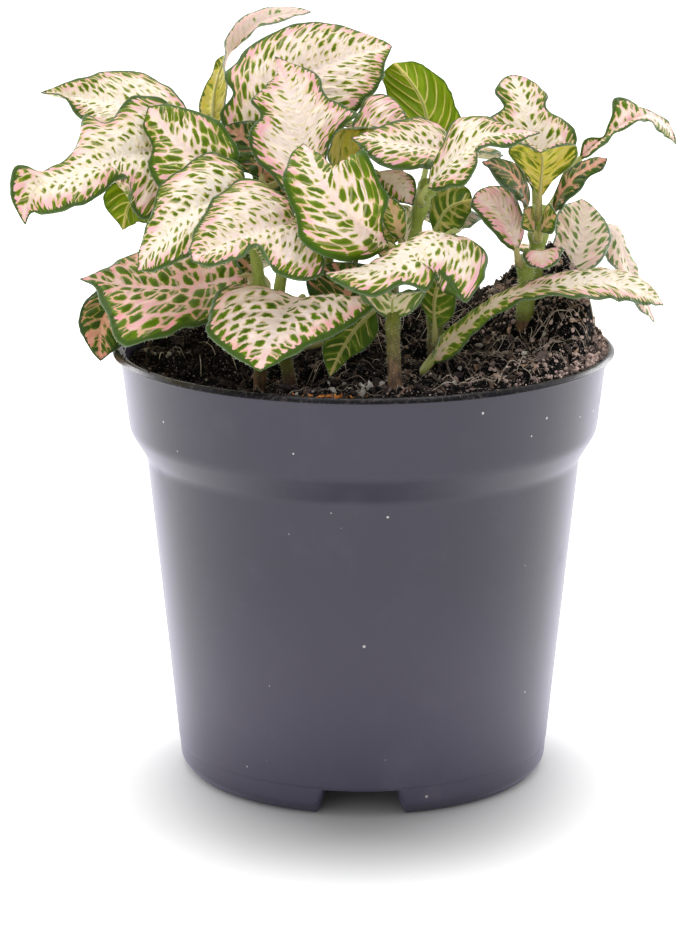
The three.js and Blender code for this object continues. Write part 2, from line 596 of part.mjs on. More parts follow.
function soilGeometry() {
  const wallRadius = (z) => THREE.MathUtils.mapLinear(
    z, POT.floorTop, POT.stepLow, insideFoot, POT.stepRadius - POT.wall) - SOIL.wallGap;
  const floor = POT.floorTop + GAP;
  const positions = [0, 0, floor];
  const ring = (radius, height) => {
    for (let k = 0; k < SOIL.segments; k++) {
      const angle = (2 * Math.PI * k) / SOIL.segments;
      const [x, y] = [radius * Math.cos(angle), radius * Math.sin(angle)];
      positions.push(x, y, height ?? soilHeight(x, y));
    }
  };
  ring(wallRadius(floor), floor);
  ring(wallRadius(POT.stepLow), POT.stepLow - 0.5);
  ring(POT.collarRadius - POT.wall - SOIL.wallGap, POT.stepHigh + 0.5);
  for (let i = 0; i < SOIL.rings; i++) ring(soilRadius * (1 - i / SOIL.rings));
  positions.push(0, 0, soilHeight(0, 0));
  const rows = 3 + SOIL.rings;
  const index = [];
  const at = (row, k) => 1 + row * SOIL.segments + (k % SOIL.segments);
  const centre = 1 + rows * SOIL.segments;
  for (let k = 0; k < SOIL.segments; k++) {
    index.push(0, at(0, k + 1), at(0, k));
    for (let row = 0; row < rows - 1; row++) {
      index.push(at(row, k), at(row, k + 1), at(row + 1, k));
      index.push(at(row, k + 1), at(row + 1, k + 1), at(row + 1, k));
    }
    index.push(at(rows - 1, k), at(rows - 1, k + 1), centre);
  }
  const geometry = new THREE.BufferGeometry();
  geometry.setAttribute('position', new THREE.Float32BufferAttribute(positions, 3));
  geometry.setIndex(index);
  let solid = toSolid(geometry);
  const holeRadius = (STEM.radius + GAP) / Math.cos(Math.PI / STEM.holeSides);
  for (const path of Object.values(STEMS)) {
    const [x, y] = path[0];
    const [bottom, top] = [soilHeight(x, y) - STEM.rootDepth - GAP, soilHeight(x, y) + 8];
    const hole = new THREE.CylinderGeometry(holeRadius, holeRadius, top - bottom, STEM.holeSides);
    solid = solid.subtract(toSolid(hole.rotateX(Math.PI / 2).translate(x, y, (top + bottom) / 2)));
  }
  return toGeometry(solid);
}

// ------------------------------------------------------------------------------------- the stems
// A stem goes straight down into its hole, and above the soil it bends through its points.
function stemCurve(path) {
  const points = path.map(vec);
  const { x, y } = points[0];
  const ground = soilHeight(x, y);
  const root = new THREE.Vector3(x, y, ground - STEM.rootDepth);
  const collar = new THREE.Vector3(x, y, ground + 1.2);
  const above = points.slice(1).filter((p) => p.z > collar.z + 3);
  return { curve: curveThrough([collar, ...above]), root, collar };
}

function ringAround(centre, direction, radius) {
  const side = new THREE.Vector3(0, -1, 0).cross(direction).normalize();
  return ringAlong(centre, side, side.clone().cross(direction), radius, STEM.sides);
}

// A ring of points that runs over its upper side from -side to +side and back under it, as skin needs.
function ringAlong(centre, side, up, radius, sides) {
  return Array.from({ length: sides }, (_, k) => {
    const angle = Math.PI * (1 - (2 * k + 1) / sides);
    return centre.clone().addScaledVector(side, radius * Math.cos(angle))
      .addScaledVector(up, radius * Math.sin(angle));
  });
}

function stemGeometry(path) {
  const { curve, root, collar } = stemCurve(path);
  const upright = new THREE.Vector3(0, 0, 1);
  const rings = [root, collar].map((centre) => ringAround(centre, upright, STEM.radius));
  const bands = Math.max(3, Math.round(curve(0).distanceTo(curve(1)) / STEM.step));
  for (let i = 1; i <= bands; i++) {
    const radius = THREE.MathUtils.lerp(STEM.radius, STEM.topRadius, i / bands);
    rings.push(ringAround(curve(i / bands), directionAt(curve, i / bands), radius));
  }
  return skin(rings);
}

// ------------------------------------------------------------------------------------ the leaves
// A blade spans its rib and its two edges: s runs from base to tip, a from the left edge (-1) over
// the rib (0) to the right edge (1).
function bladeSurface({ base, tip, left, right, rib }) {
  const [start, end] = [vec(base), vec(tip)];
  const edges = [left, right].map((side) => curveThrough([start, ...side.map(vec), end]));
  const between = edges[0](0.5).add(edges[1](0.5)).multiplyScalar(0.5);
  const middle = curveThrough([start, ...(rib ? rib.map(vec) : [between]), end]);
  return (s, a) => {
    const edge = edges[a < 0 ? 0 : 1](s);
    return middle(s).lerp(edge, Math.abs(a));
  };
}

function surfaceNormal(surface, s, a) {
  const [near, far] = [Math.max(s - 0.02, 0.01), Math.min(s + 0.02, 0.99)];
  const across = surface(s, Math.min(a + 0.05, 1)).sub(surface(s, Math.max(a - 0.05, -1)));
  const along = surface(far, a).sub(surface(near, a));
  return across.cross(along).normalize();
}

function leafGeometry(leaf) {
  const surface = bladeSurface(leaf);
  const rings = stalkRings(leaf, surface);
  const bands = leaf.bands ?? LEAF.bands;
  for (let i = 0; i <= bands; i++) {
    const s = THREE.MathUtils.lerp(LEAF.start, LEAF.end, i / bands);
    const top = [];
    const bottom = [];
    for (let j = 0; j <= LEAF.columns; j++) {
      const a = -1 + (2 * j) / LEAF.columns;
      const half = surfaceNormal(surface, s, a).multiplyScalar(LEAF.thickness / 2);
      top.push(surface(s, a).add(half));
      bottom.unshift(surface(s, a).sub(half));
    }
    rings.push([...top, ...bottom]);
  }
  return skin(rings);
}

// The place on a stem, as a share of its length, that is nearest to a point.
function nearestOn(curve, point) {
  let best = 0;
  for (let i = 1; i <= STEM.places; i++) {
    if (curve(i / STEM.places).distanceTo(point) < curve(best).distanceTo(point)) best = i / STEM.places;
  }
  return best;
}

// The stalk leaves the side of its stem a little below its blade, square to the stem, and bends into
// the blade's rib.
function stalkRings({ stem, base }, surface) {
  const { curve } = stemCurve(STEMS[stem]);
  const foot = vec(base);
  const u = nearestOn(curve, foot.clone().setZ(foot.z - LEAF.stalkDrop));
  const axis = directionAt(curve, u);
  const outward = foot.clone().sub(curve(u));
  outward.addScaledVector(axis, -outward.dot(axis)).normalize();
  const joint = curve(u).addScaledVector(outward, STEM.radius + GAP);
  const heading = surface(0.12, 0).sub(foot).normalize();
  const chord = foot.clone().sub(joint);
  const bend = chord.angleTo(outward) + chord.angleTo(heading);
  const reach = chord.length() * Math.min(LEAF.reach + LEAF.reachPerBend * bend, LEAF.reachMost);
  const leaving = joint.clone().addScaledVector(outward, reach);
  const arriving = foot.clone().addScaledVector(heading, -reach);
  const path = new THREE.CubicBezierCurve3(joint, leaving, arriving, foot);
  const sides = 2 * (LEAF.columns + 1);
  const bands = THREE.MathUtils.clamp(Math.round(bend / LEAF.turnPerBand), 2, 5);
  const side = heading.clone().cross(surfaceNormal(surface, 0.1, 0)).normalize();
  const rings = [];
  for (let i = bands; i >= 0; i--) { // from the blade down to the stem, turning as little as it can
    const direction = i === 0 ? outward : path.getTangent(i / bands);
    side.addScaledVector(direction, -side.dot(direction)).normalize();
    const up = side.clone().cross(direction);
    rings.unshift(ringAlong(path.getPoint(i / bands), side, up, LEAF.stalkRadius, sides));
  }
  return rings;
}

// --------------------------------------------------------------------------------- the assembly
addMesh('pot', potGeometry(), 'pot');
addMesh('soil', soilGeometry(), 'soil');
for (const [name, path] of Object.entries(STEMS)) addMesh(name, stemGeometry(path), 'stem');
for (const leaf of LEAVES) addMesh(leaf.name, leafGeometry(leaf), 'leaf');

export default object;
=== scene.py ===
"""A potted nerve plant (Fittonia): the look of every piece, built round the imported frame.

Lengths are in millimetres, with +Z up and the plant's front at -Y, until a mesh is written in metres. The
tables of stems and leaves hold the same points as the construction, so each leaf, stem, the soil and the
pot keeps its form and gains its finer relief, veins, hairs and colour here. Three are placed anew, up to
5 mm from the construction's: leaf_right_back, leaf_right_long and stem_right_small.
"""

import bpy
import numpy as np
from mathutils import Matrix


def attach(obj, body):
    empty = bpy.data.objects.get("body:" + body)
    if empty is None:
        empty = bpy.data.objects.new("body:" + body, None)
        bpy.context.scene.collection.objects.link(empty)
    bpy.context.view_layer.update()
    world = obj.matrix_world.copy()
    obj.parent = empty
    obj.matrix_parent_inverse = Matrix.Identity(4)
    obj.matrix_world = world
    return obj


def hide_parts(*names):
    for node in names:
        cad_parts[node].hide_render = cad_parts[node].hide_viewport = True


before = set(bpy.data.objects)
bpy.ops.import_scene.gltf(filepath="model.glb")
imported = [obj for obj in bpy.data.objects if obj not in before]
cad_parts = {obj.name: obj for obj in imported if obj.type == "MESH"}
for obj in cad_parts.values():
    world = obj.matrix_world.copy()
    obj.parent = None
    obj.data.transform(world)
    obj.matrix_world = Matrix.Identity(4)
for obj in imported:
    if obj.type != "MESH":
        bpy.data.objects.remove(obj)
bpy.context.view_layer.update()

MM = 0.001
UP = np.array([0.0, 0.0, 1.0])
HAIR_BEND = 0.25  # how far a hair's tip hangs down, as a share of its length
JAG = 0.5  # how far a grain's corners stray, as a share of its radius

# ---------------------------------------------------------------------------------------- dimensions
POT = {
    "foot_radius": 42.8,
    "step_radius": 52.1,
    "collar_radius": 56.1,
    "rim_radius": 60.0,
    "step_low": 77.8,
    "step_high": 84.4,
    "rim_low": 102.7,
    "lip": 1.8,
    "height": 104.0,
    "wall": 1.2,
    "rim_width": 3.2,
    "foot_width": 2.6,
    "foot_bead": 1.2,
    "floor_under": 7.4,
    "floor_top": 9.0,
}
POT_SIDES = 288
NOTCH = {"bottom": 22.0, "top": 17.7, "height": 6.6, "angles": (-91, 29, 149)}
DRAIN = {"centre_radius": 5.0, "ring_radius": 4.0, "ring_at": 27.0, "count": 6}
SOIL = {
    "level": 101.5,
    "edge_level": 100.6,
    "edge_band": 9.0,
    "wall_gap": 0.5,
    "clod": 0.9,
    # what roughens the surface: height, size and seed of each noise
    "rough": ((1.3, 7.0, 11), (1.1, 3.0, 12), (0.7, 1.3, 13)),
    "turns": 360,  # points in a ring of the filling, and rings from the wall to the middle
    "rings": 150,
    "middle": 0.02,  # radius of the last ring
    # each swell: x, y, wide, deep, rise
    "swells": ((37, 15, 25, 25, 12), (-4, 24, 28, 22, 4), (-31, -27, 17, 15, -11)),
}
STEM = {
    "radius": 1.55,
    "top_radius": 1.25,
    "root_depth": 15.0,
    "places": 60,
    "sides": 20,
    "above_soil": 1.2,  # height of the place where the path leaves the root
    "clear": 3.0,  # points of the way this close above that place are left out
    "swelling": 0.4,
    "swelling_length": 1.8,
    "lumps": 0.12,
    "bud": (0.5, 1.0, 1.5, 1.9, 2.2),  # how far the bud's rings lie past the top
    "bud_radii": (1.05, 0.95, 0.75, 0.5, 0.2),  # as shares of the top's
}
STALK = {
    "drop": 3.0,  # how far under the blade's base the stalk leaves the stem
    "reach": 0.35,  # pull of the curve's ends as a share of its length: least, more for a bend, most
    "reach_per_bend": 0.12,
    "reach_most": 0.7,
    "places": 16,
    "sunk": 0.6,  # the stalk starts this far off the stem's middle
    "sides": 12,
    "lumps": 0.05,
    "under": 0.32,  # depth of the raised rib under the blade's middle surface
    "closest": 0.15,  # rings that lie closer than this are left out
    # radii along the stalk, up to a share of 0.5, and then along the raised rib
    "shares": (0, 0.15, 0.5, 0.62, 1),
    "radii": (1.2, 0.95, 0.7, 0.36, 0.1),
    "look": (30.0, 9.0, 5.0),  # a place on the blade that has no pattern
}

# Each stem's way through the air, from the soil up.
STEMS = {
    "stem_front": [(7, -42, 101), (6.5, -37, 114), (6.5, -30, 120.5), (6.5, -23, 126), (6, -20, 130.5)],
    "stem_centre": [
        (17.5, -13, 104.5), (16.5, -11, 113), (14, -8, 123.5), (12, -6, 132.5), (13.5, -8, 139),
        (15, -5, 142.5),
    ],
    "stem_right": [(41, 6, 102), (41.5, 6, 113), (41.5, 5, 125.5), (42, 3, 135)],
    "stem_right_small": [(38.5, -3, 104), (38.5, -3, 115), (38.5, -3.5, 124.5)],
    "stem_left_front": [(-24.5, -16, 112), (-24.5, -17, 123), (-26, -14, 133), (-26, -13, 140.5)],
    "stem_left_mid": [(-17, -22, 112), (-19.5, -22, 122.5), (-17.5, -20, 131), (-14.5, -20, 135.5)],
    "stem_middle": [
        (-7, 4, 108), (-8.5, -2, 124.5), (-10, -5, 136.5), (-15.5, 0, 146.5), (-18.5, 3, 148),
    ],
    "stem_left_back": [(-31, 10, 115.5), (-33.5, 8, 130.5), (-37, 9, 143.5), (-38, 16, 151)],
    "stem_left_low": [(-36, 18, 108.5), (-37.5, 16, 116), (-39, 15, 121.5)],
    "stem_back": [(-3.5, 34, 108), (-2.5, 31, 118), (-0.5, 27, 129), (0.5, 25, 135.5)],
    "stem_right_back": [(45, 20, 104), (48, 22, 111), (50.5, 26, 116), (53, 30, 119)],
}

def blade(name, stem, looks, base, tip, left, right, rib=None):
    """One blade of the tables: the stem that bears it, its looks, its base and tip, points along its left
    and right edges as seen from above looking to the tip, and points of its rib where that bends more."""
    return {
        "name": name, "stem": stem, "looks": looks, "base": base, "tip": tip,
        "left": left, "right": right, "rib": rib,
    }


LEAVES = [
    blade("leaf_left_top", "stem_left_back", "cream", (-42, 16, 157.5), (-77, 10, 163),
          [(-48, 9, 153.5), (-56.5, 6, 152.5), (-66, 6, 156), (-71.5, 8, 162)],
          [(-47, 26, 162), (-52.5, 29, 164.5), (-62, 27, 166), (-67.5, 20, 165.5)]),
    blade("leaf_left_wide", "stem_left_back", "cream", (-47.5, -1, 151.5), (-77.5, -30, 138),
          [(-48.5, -14, 138.5), (-52, -16, 137), (-54, -17, 140.5), (-53.5, -14, 145.5), (-57, -17, 146.5),
           (-60.5, -21, 143.5), (-66.5, -29, 142), (-74, -29, 140.5), (-75.5, -29, 141)],
          [(-46.5, 4, 161), (-49.5, 3, 163), (-54.5, 0, 163), (-61, -4, 158), (-65, -4, 159.5),
           (-66.5, -7, 155), (-69.5, -14, 150.5), (-75, -21, 149), (-79.5, -28, 151), (-80.5, -30, 145)],
          [(-56.5, -10, 151), (-67, -20, 148), (-75.5, -26, 145.5)]),
    blade("leaf_left_upright", "stem_left_front", "spotted", (-31.5, -12, 147), (-50.5, -4, 161.5),
          [(-38, -19, 144), (-46.5, -18, 144.5), (-50, -14, 148), (-49.5, -9, 153), (-51.5, -5, 158)],
          [(-29.5, -9, 151), (-33.5, -5, 157.5), (-41, -3, 161), (-47, -3, 162)]),
    blade("leaf_left_mid", "stem_left_front", "cream", (-27, -18, 143.5), (-51.5, -39, 129),
          [(-31, -32, 136), (-39, -39, 133), (-46, -42, 130)],
          [(-28.5, -15, 148.5), (-35.5, -14, 152.5), (-41.5, -18, 149.5), (-47, -22, 146),
           (-48.5, -27, 141), (-51, -33, 134.5)]),
    blade("leaf_front_left", "stem_left_mid", "blush", (-16, -26, 138), (-38.5, -51, 133.5),
          [(-9, -35, 132), (-10, -39, 127.5), (-14.5, -43, 127.5), (-20.5, -45, 130.5), (-23.5, -42, 135.5),
           (-28, -51, 134), (-34.5, -54, 133)],
          [(-17, -23, 142), (-22, -20, 145.5), (-27.5, -20, 147), (-34, -27, 144), (-37.5, -37, 140),
           (-39.5, -45, 136)]),
    blade("leaf_crown", "stem_middle", "blush", (-22, 6, 152.5), (7, 23, 172.5),
          [(-32, 7, 154.5), (-34, 8, 157.5), (-31.5, 11, 163), (-33, 14, 166), (-29, 20, 171),
           (-23.5, 23, 175), (-14, 26, 178), (-4, 27, 176.5), (3, 26, 174.5)],
          [(-11.5, 4, 151), (-3.5, 8, 156.5), (0, 11, 160.5), (4, 15, 164.5), (5.5, 19, 169)]),
    blade("leaf_crown_curled", "stem_left_back", "ghost", (-36, 22, 152.5), (-12.5, 30, 180),
          [(-33.5, 20, 157), (-33, 20, 163.5), (-33.5, 23, 168), (-32.5, 28, 175.5), (-26.5, 31, 180),
           (-18, 32, 181)],
          [(-40, 28, 156), (-38, 30, 162.5), (-35.5, 30, 168), (-30.5, 29, 171.5), (-25, 28, 176.5),
           (-18, 28, 178.5)],
          [(-36, 25, 160), (-33.5, 27, 168), (-28, 29, 175.5)]),
    blade("leaf_centre_pale", "stem_middle", "pale", (-12, -13, 143.5), (-21, 7, 172),
          [(-18, -15, 143.5), (-22.5, -12, 147.5), (-26.5, -7, 152), (-26.5, -5, 156.5), (-24, -3, 159),
           (-26.5, 1, 162.5), (-23, 3, 165.5), (-20.5, 5, 167.5)],
          [(-9, -12, 148), (-7.5, -9, 154), (-5.5, -7, 156.5), (-1.5, -4, 160), (-4.5, -2, 161.5),
           (-9.5, 1, 164), (-10, 4, 167), (-14.5, 6, 169.5)]),
    blade("leaf_centre_curled", "stem_middle", "olive_back", (-4.5, -8, 146), (10, 2, 157),
          [(-4, -2, 153.5), (-1.5, 4, 158.5), (1.5, 9, 162.5), (6.5, 9, 162), (9.5, 6, 159.5)],
          [(-8, -14, 151), (-7, -15, 157), (1.5, -8, 157)],
          [(-0.5, -4, 152)]),
    blade("leaf_centre_spotted", "stem_front", "spotted", (6, -26, 132.5), (-14, -21, 155.5),
          [(1.5, -32, 131), (-4.5, -38, 131), (-10, -41, 133.5), (-14.5, -40, 136.5), (-15.5, -37, 140.5),
           (-17.5, -33, 145), (-18.5, -29, 149), (-17, -23, 153)],
          [(4, -31, 139), (5, -32, 145.5), (2.5, -31, 150.5), (-1, -29, 155), (-3.5, -27, 152),
           (-5.5, -26, 150), (-9, -23, 152)]),
    blade("leaf_centre_right", "stem_centre", "blush", (20.5, 0, 150), (-3, -16, 156),
          [(17, -9, 148.5), (10, -18, 149), (4, -22, 150.5), (0, -20, 153.5)],
          [(18, 5, 156), (12, 2, 158), (6, -4, 157.5), (1, -10, 156.5)]),
    blade("leaf_centre_twisted", "stem_centre", "cream", (14.5, -15, 144), (40, -28, 159),
          [(16, -12, 149), (18.5, -9, 154), (22.5, -4, 159), (28, -7, 159.5), (33.5, -18, 159)],
          [(19, -22, 145), (23.5, -26, 147.5), (26, -27, 152), (25.5, -26, 154), (33, -28, 156)]),
    blade("leaf_back_upright", "stem_centre", "lime_back", (15.5, 16, 148), (7.5, 27, 168),
          [(23.5, 17, 154), (22.5, 21, 159), (19.5, 25, 164), (14, 28, 167.5)],
          [(8, 21, 155.5), (5.5, 25, 161), (5, 27, 165.5)]),
    blade("leaf_front_right", "stem_front", "cream", (19.5, -24, 135), (-9, -44, 129.5),
          [(27.5, -27, 132), (27, -33, 126.5), (22.5, -40, 122), (19.5, -38, 125), (17, -37, 127.5),
           (14, -42, 125.5), (8, -45, 127), (2, -50, 125.5), (-4, -50, 127)],
          [(15.5, -23, 135.5), (9, -27, 133.5), (1, -35, 130)],
          [(11.5, -33, 132.5), (2, -40, 129.5)]),
    blade("leaf_front_low", "stem_left_mid", "net", (-14.5, -29, 121), (-23.5, -54, 109),
          [(-6.5, -29, 120), (2.5, -33, 121), (-2.5, -41, 117), (-9.5, -46, 114.5), (-16.5, -51, 112)],
          [(-23, -28, 122), (-30.5, -32, 124.5), (-35.5, -40, 120.5), (-35.5, -46, 116.5),
           (-30.5, -51, 112.5)]),
    blade("leaf_left_low", "stem_left_front", "rose_net", (-28, -13, 123), (-66, -22, 124),
          [(-29, -19, 118.5), (-36.5, -28, 114.5), (-42, -34, 114.5), (-48.5, -39, 113),
           (-54.5, -41, 112.5), (-59, -35, 118.5), (-62.5, -27, 123)],
          [(-33, -4, 128), (-43, 0, 129.5), (-54.5, -6, 127), (-61.5, -15, 124.5)]),
    blade("leaf_left_hanging", "stem_left_low", "dusk", (-53.5, 2, 117.5), (-62.5, -8, 101.5),
          [(-55.5, -2, 111), (-57.5, -6, 105.5)],
          [(-63, 2, 117), (-67.5, -2, 112.5), (-66.5, -6, 106.5)]),
    blade("leaf_left_under", "stem_left_back", "lime_back", (-50, 10, 138), (-57, -2, 132),
          [(-55.5, 6, 143), (-61.5, 0, 140)],
          [(-50.5, 8, 132.5), (-54, 2, 133)]),
    blade("leaf_left_small", "stem_middle", "dusk", (-24, -6, 145), (-33.5, 2, 156),
          [(-28.5, -4, 146.5), (-31.5, 0, 151)],
          [(-23, 0, 151.5), (-24.5, 3, 157.5), (-29.5, 3, 157)]),
    blade("leaf_right_top", "stem_right", "cream", (41, 8, 139), (36, 20, 166),
          [(35, 6, 149), (30, 9, 157), (33.5, 12, 159.5), (31.5, 16, 162.5), (33.5, 19, 165)],
          [(47.5, 8, 145.5), (51, 10, 151.5), (48.5, 12, 156), (43.5, 14, 159), (44.5, 17, 161),
           (39.5, 20, 165)]),
    blade("leaf_right_cup", "stem_right", "olive_back", (41.5, -3, 139.5), (40.5, -22, 153.5),
          [(44.5, -8, 144.5), (49, -13, 150.5), (48.5, -19, 155)],
          [(38.5, -8, 145.5), (33.5, -13, 152), (35, -19, 155)]),
    blade("leaf_right_curled", "stem_right", "net", (52, 14, 146.5), (78.5, 47, 145),
          [(53.5, 14, 151.5), (57.5, 17, 151.5), (61.5, 25, 159.5), (69, 32, 156), (75, 39, 152.5)],
          [(54.5, 12, 147.5), (60, 17, 151.5), (68.5, 26, 154), (73.5, 36, 149.5)],
          [(58, 18, 151), (69, 30, 154.5)]),
    blade("leaf_right_inner", "stem_right_small", "petal", (36, -7, 128), (26, -5, 141),
          [(32.5, -9, 130), (28.5, -9, 135), (25.5, -7, 138.5)],
          [(37.5, -3, 130.5), (37.5, -1, 136), (34.5, 2, 141), (30, 0, 142.5)]),
    blade("leaf_right_small", "stem_right_small", "petal", (41.5, -9, 128), (41.5, -18, 125.5),
          [(46, -10, 129), (45.5, -16, 127)],
          [(38, -10, 128), (38.5, -15, 126)]),
    blade("leaf_right_shaded", "stem_right", "dusk", (39, 2, 136.5), (27.5, -10, 149.5),
          [(35, -8, 141.5), (30, -14, 147)],
          [(39, 2, 142.5), (35, 0, 148), (30.5, -5, 149.5)]),
    blade("leaf_right_narrow", "stem_right", "dusk", (45, 2, 135.5), (58, 5, 148),
          [(46.5, 2, 143), (52.5, 6, 147.5)],
          [(47.5, -4, 138.5), (51, -4, 142), (53.5, 0, 144.5), (56.5, 2, 145.5)]),
    blade("leaf_right_back", "stem_right_back", "white", (45.5, 14, 111.5), (54, 31, 134),
          [(44.5, 18, 118.5), (46.5, 23, 125.5), (49, 28, 132)],
          [(50.5, 15, 115), (56.5, 18, 119.5), (60, 21, 123), (58.5, 28, 130.5)]),
    blade("leaf_right_drooping", "stem_right_back", "white", (58.5, 38, 126.5), (72.5, 30, 103),
          [(63, 42, 125.5), (68, 40, 116), (71, 35, 108.5)],
          [(59.5, 37, 120.5), (62.5, 33, 116), (67, 29, 108.5)],
          [(62, 39, 124.5), (66.5, 37, 115)]),
    blade("leaf_right_long", "stem_centre", "long", (15.5, -27, 105), (72, 2, 113),
          [(17.5, -24, 110.5), (23.5, -21, 115), (29, -17, 118), (37, -12, 121), (50, 1, 121.5),
           (60, 8, 120.5), (68.5, 7, 117)],
          [(20, -30.5, 107), (24.5, -29, 111.5), (28, -25.5, 114), (32, -23, 116.5), (39, -23, 119.5),
           (48.5, -21, 119.5), (58, -14, 117.5), (67.5, -4, 114.5)],
          [(20, -27, 110.5), (25, -25, 114.5), (30.5, -20, 118), (46.5, -10, 120), (61.5, -3, 118.5)]),
    blade("leaf_centre_under", "stem_centre", "net", (16.5, -3, 131.5), (26, 5, 138),
          [(22.5, 1, 131.5), (25.5, 4, 135)],
          [(16, 1, 139.5), (20.5, 6, 142), (24.5, 7, 141)]),
    blade("leaf_centre_bud", "stem_front", "young", (8.5, -17, 132), (5, -21, 143.5),
          [(4.5, -21, 136.5), (3.5, -23, 140.5)],
          [(10, -18, 136), (8.5, -20, 141)]),
    blade("leaf_front_inner", "stem_front", "dark_back", (2.5, -25, 117.5), (-8, -37, 104),
          [(-3, -28, 116.5), (-9.5, -36, 111)],
          [(3, -25, 113), (0.5, -29, 109.5), (-4, -33, 107)]),
    blade("leaf_soil_right", "stem_centre", "young", (16.5, -20, 111.5), (19, -13, 124.5),
          [(20, -20, 114), (21, -17, 119.5)],
          [(14.5, -20, 115), (12, -18, 120)]),
    blade("leaf_centre_small", "stem_middle", "pale", (3, -4, 146), (11.5, -12, 139.5),
          [(8, -2, 146.5), (12, -8, 144)],
          [(4, -8, 143), (7.5, -12, 140.5)]),
    blade("leaf_inner_shaded", "stem_left_mid", "dusk", (-5, -19, 113), (-7.5, -11, 126),
          [(-11.5, -15, 117), (-13.5, -12, 121.5)],
          [(3.5, -17, 117), (3, -10, 124)]),
    blade("leaf_back_left", "stem_left_low", "cream", (-30, 20, 137), (-49.5, 48, 126),
          [(-44.5, 20, 137), (-51.5, 31, 133)],
          [(-25, 33.5, 137), (-33, 44, 133)],
          [(-40, 34.5, 132.5)]),
    blade("leaf_back_middle", "stem_back", "cream", (-10, 31, 132), (-13.5, 58.5, 121),
          [(-22, 36.5, 132), (-22.5, 47.5, 128)],
          [(0, 39.5, 132), (-1.5, 50, 128)],
          [(-11.5, 45.5, 127.5)]),
    blade("leaf_back_right", "stem_back", "cream", (12, 27, 131), (24, 56, 121),
          [(4.5, 38.5, 131), (9.5, 49.5, 127.5)],
          [(25.5, 30, 131), (29.5, 41, 127.5)],
          [(18, 42, 127)]),
    blade("leaf_back_high_right", "stem_back", "cream", (12, 22, 145), (34, 46.5, 141.5),
          [(9, 35, 146.5), (17.5, 44, 145.5)],
          [(25, 20, 146.5), (33, 30, 145.5)],
          [(23, 34.5, 144.5)]),
    blade("leaf_back_crown", "stem_middle", "cream", (-14, 17, 156), (-21.5, 51.5, 149.5),
          [(-27.5, 22.5, 157), (-29.5, 36, 155)],
          [(-4, 27.5, 157), (-7.5, 40.5, 155)],
          [(-17.5, 34.5, 154)]),
    blade("leaf_back_top", "stem_back", "cream", (2, 24, 151), (9, 56, 145.5),
          [(-7, 33.5, 152), (-3.5, 45.5, 150.5)],
          [(14, 29, 152), (16, 41.5, 150.5)],
          [(5.5, 40, 149.5)]),
    blade("leaf_back_far_left", "stem_left_back", "cream", (-40, 20, 149), (-69.5, 36, 144.5),
          [(-52, 14, 150.5), (-63, 20.5, 149)],
          [(-41.5, 33.5, 150.5), (-53.5, 39, 149)],
          [(-55, 28, 148)]),
    blade("leaf_back_low_left", "stem_left_low", "cream", (-38, 22, 119), (-65.5, 33, 110),
          [(-48.5, 15, 119.5), (-59, 19.5, 116)],
          [(-40.5, 34.5, 119.5), (-51.5, 38.5, 116)],
          [(-52, 27.5, 115.5)]),
    blade("leaf_back_low", "stem_back", "cream", (-14, 37, 118), (-27, 58, 111),
          [(-24.5, 37.5, 118.5), (-29.5, 46, 116.5)],
          [(-10, 47, 118.5), (-15, 55, 116.5)],
          [(-21, 48, 115.5)]),
    blade("leaf_back_low_right", "stem_back", "cream", (6, 37, 118), (17, 58, 110.5),
          [(1, 46.5, 118.5), (5.5, 54.5, 116)],
          [(16.5, 38, 118.5), (20.5, 46.5, 116)],
          [(12, 48, 115.5)]),
    blade("leaf_back_side_right", "stem_right_back", "cream", (50, 31, 110), (62.5, 52.5, 107.5),
          [(45.5, 40, 112), (50.5, 48, 111)],
          [(60, 32, 112), (64.5, 40, 111)],
          [(56.5, 42, 110)]),
    blade("leaf_back_far_right", "stem_right_back", "cream", (48, 31, 118), (45, 57.5, 115),
          [(38.5, 36, 120), (38, 46.5, 119)],
          [(56, 38, 120), (54.5, 48, 119)],
          [(46.5, 44.5, 118)]),
]

# Small young or shaded leaves between the others, which the construction leaves out.
BRACTS = [
    blade("leaf_front_bract", "stem_front", "bract", (6.5, -33, 116.5), (7, -40, 124),
          [(11.5, -35, 119.5), (14, -38, 124)],
          [(2, -35, 119.5), (-1, -38, 124)]),
    blade("leaf_centre_bract", "stem_centre", "bract", (10, -12, 130.5), (8, -14, 140),
          [(7, -15, 135)],
          [(11, -9, 137.5)]),
    blade("leaf_centre_low_bract", "stem_front", "young", (9, -24, 128), (3, -28, 131.5),
          [(5.5, -31, 128.5)],
          [(6, -22, 132.5)]),
    blade("leaf_right_bract", "stem_right", "young", (40.5, -2, 131.5), (37.5, -8, 138),
          [(37, -9, 135)],
          [(40, -2, 137)]),
    blade("leaf_right_far_bract", "stem_right", "young", (42, -2, 131.5), (45.5, -8, 136.5),
          [(43.5, -2, 138)],
          [(45, -10, 134)]),
    blade("leaf_left_shade", "stem_middle", "dusk", (-14.5, 8, 137.5), (-27, 11, 146.5),
          [(-18, 8, 133), (-25, 9, 138)],
          [(-15, 10, 144), (-20, 12, 149.5)]),
    blade("leaf_centre_shade", "stem_centre", "young", (9, 2, 129), (0, 6, 138),
          [(4.5, 3, 127.5), (0.5, 4, 132)],
          [(9, 4, 134), (5, 6, 138.5)]),
    blade("leaf_low_shade", "stem_left_front", "dusk", (-24.5, -2, 121), (-34, 2, 127.5),
          [(-27, 0, 116.5), (-32, 1, 120)],
          [(-25, 2, 126.5), (-29, 3, 130)]),
]

# --------------------------------------------------------------------------------------- small maths
def smoothstep(x, low, high):
    """0 below low, 1 above high, and 3t^2 - 2t^3 between."""
    t = np.clip((x - low) / (high - low), 0, 1)
    return t * t * (3 - 2 * t)


def unit(v):
    return v / np.maximum(np.linalg.norm(v, axis=-1, keepdims=True), 1e-9)


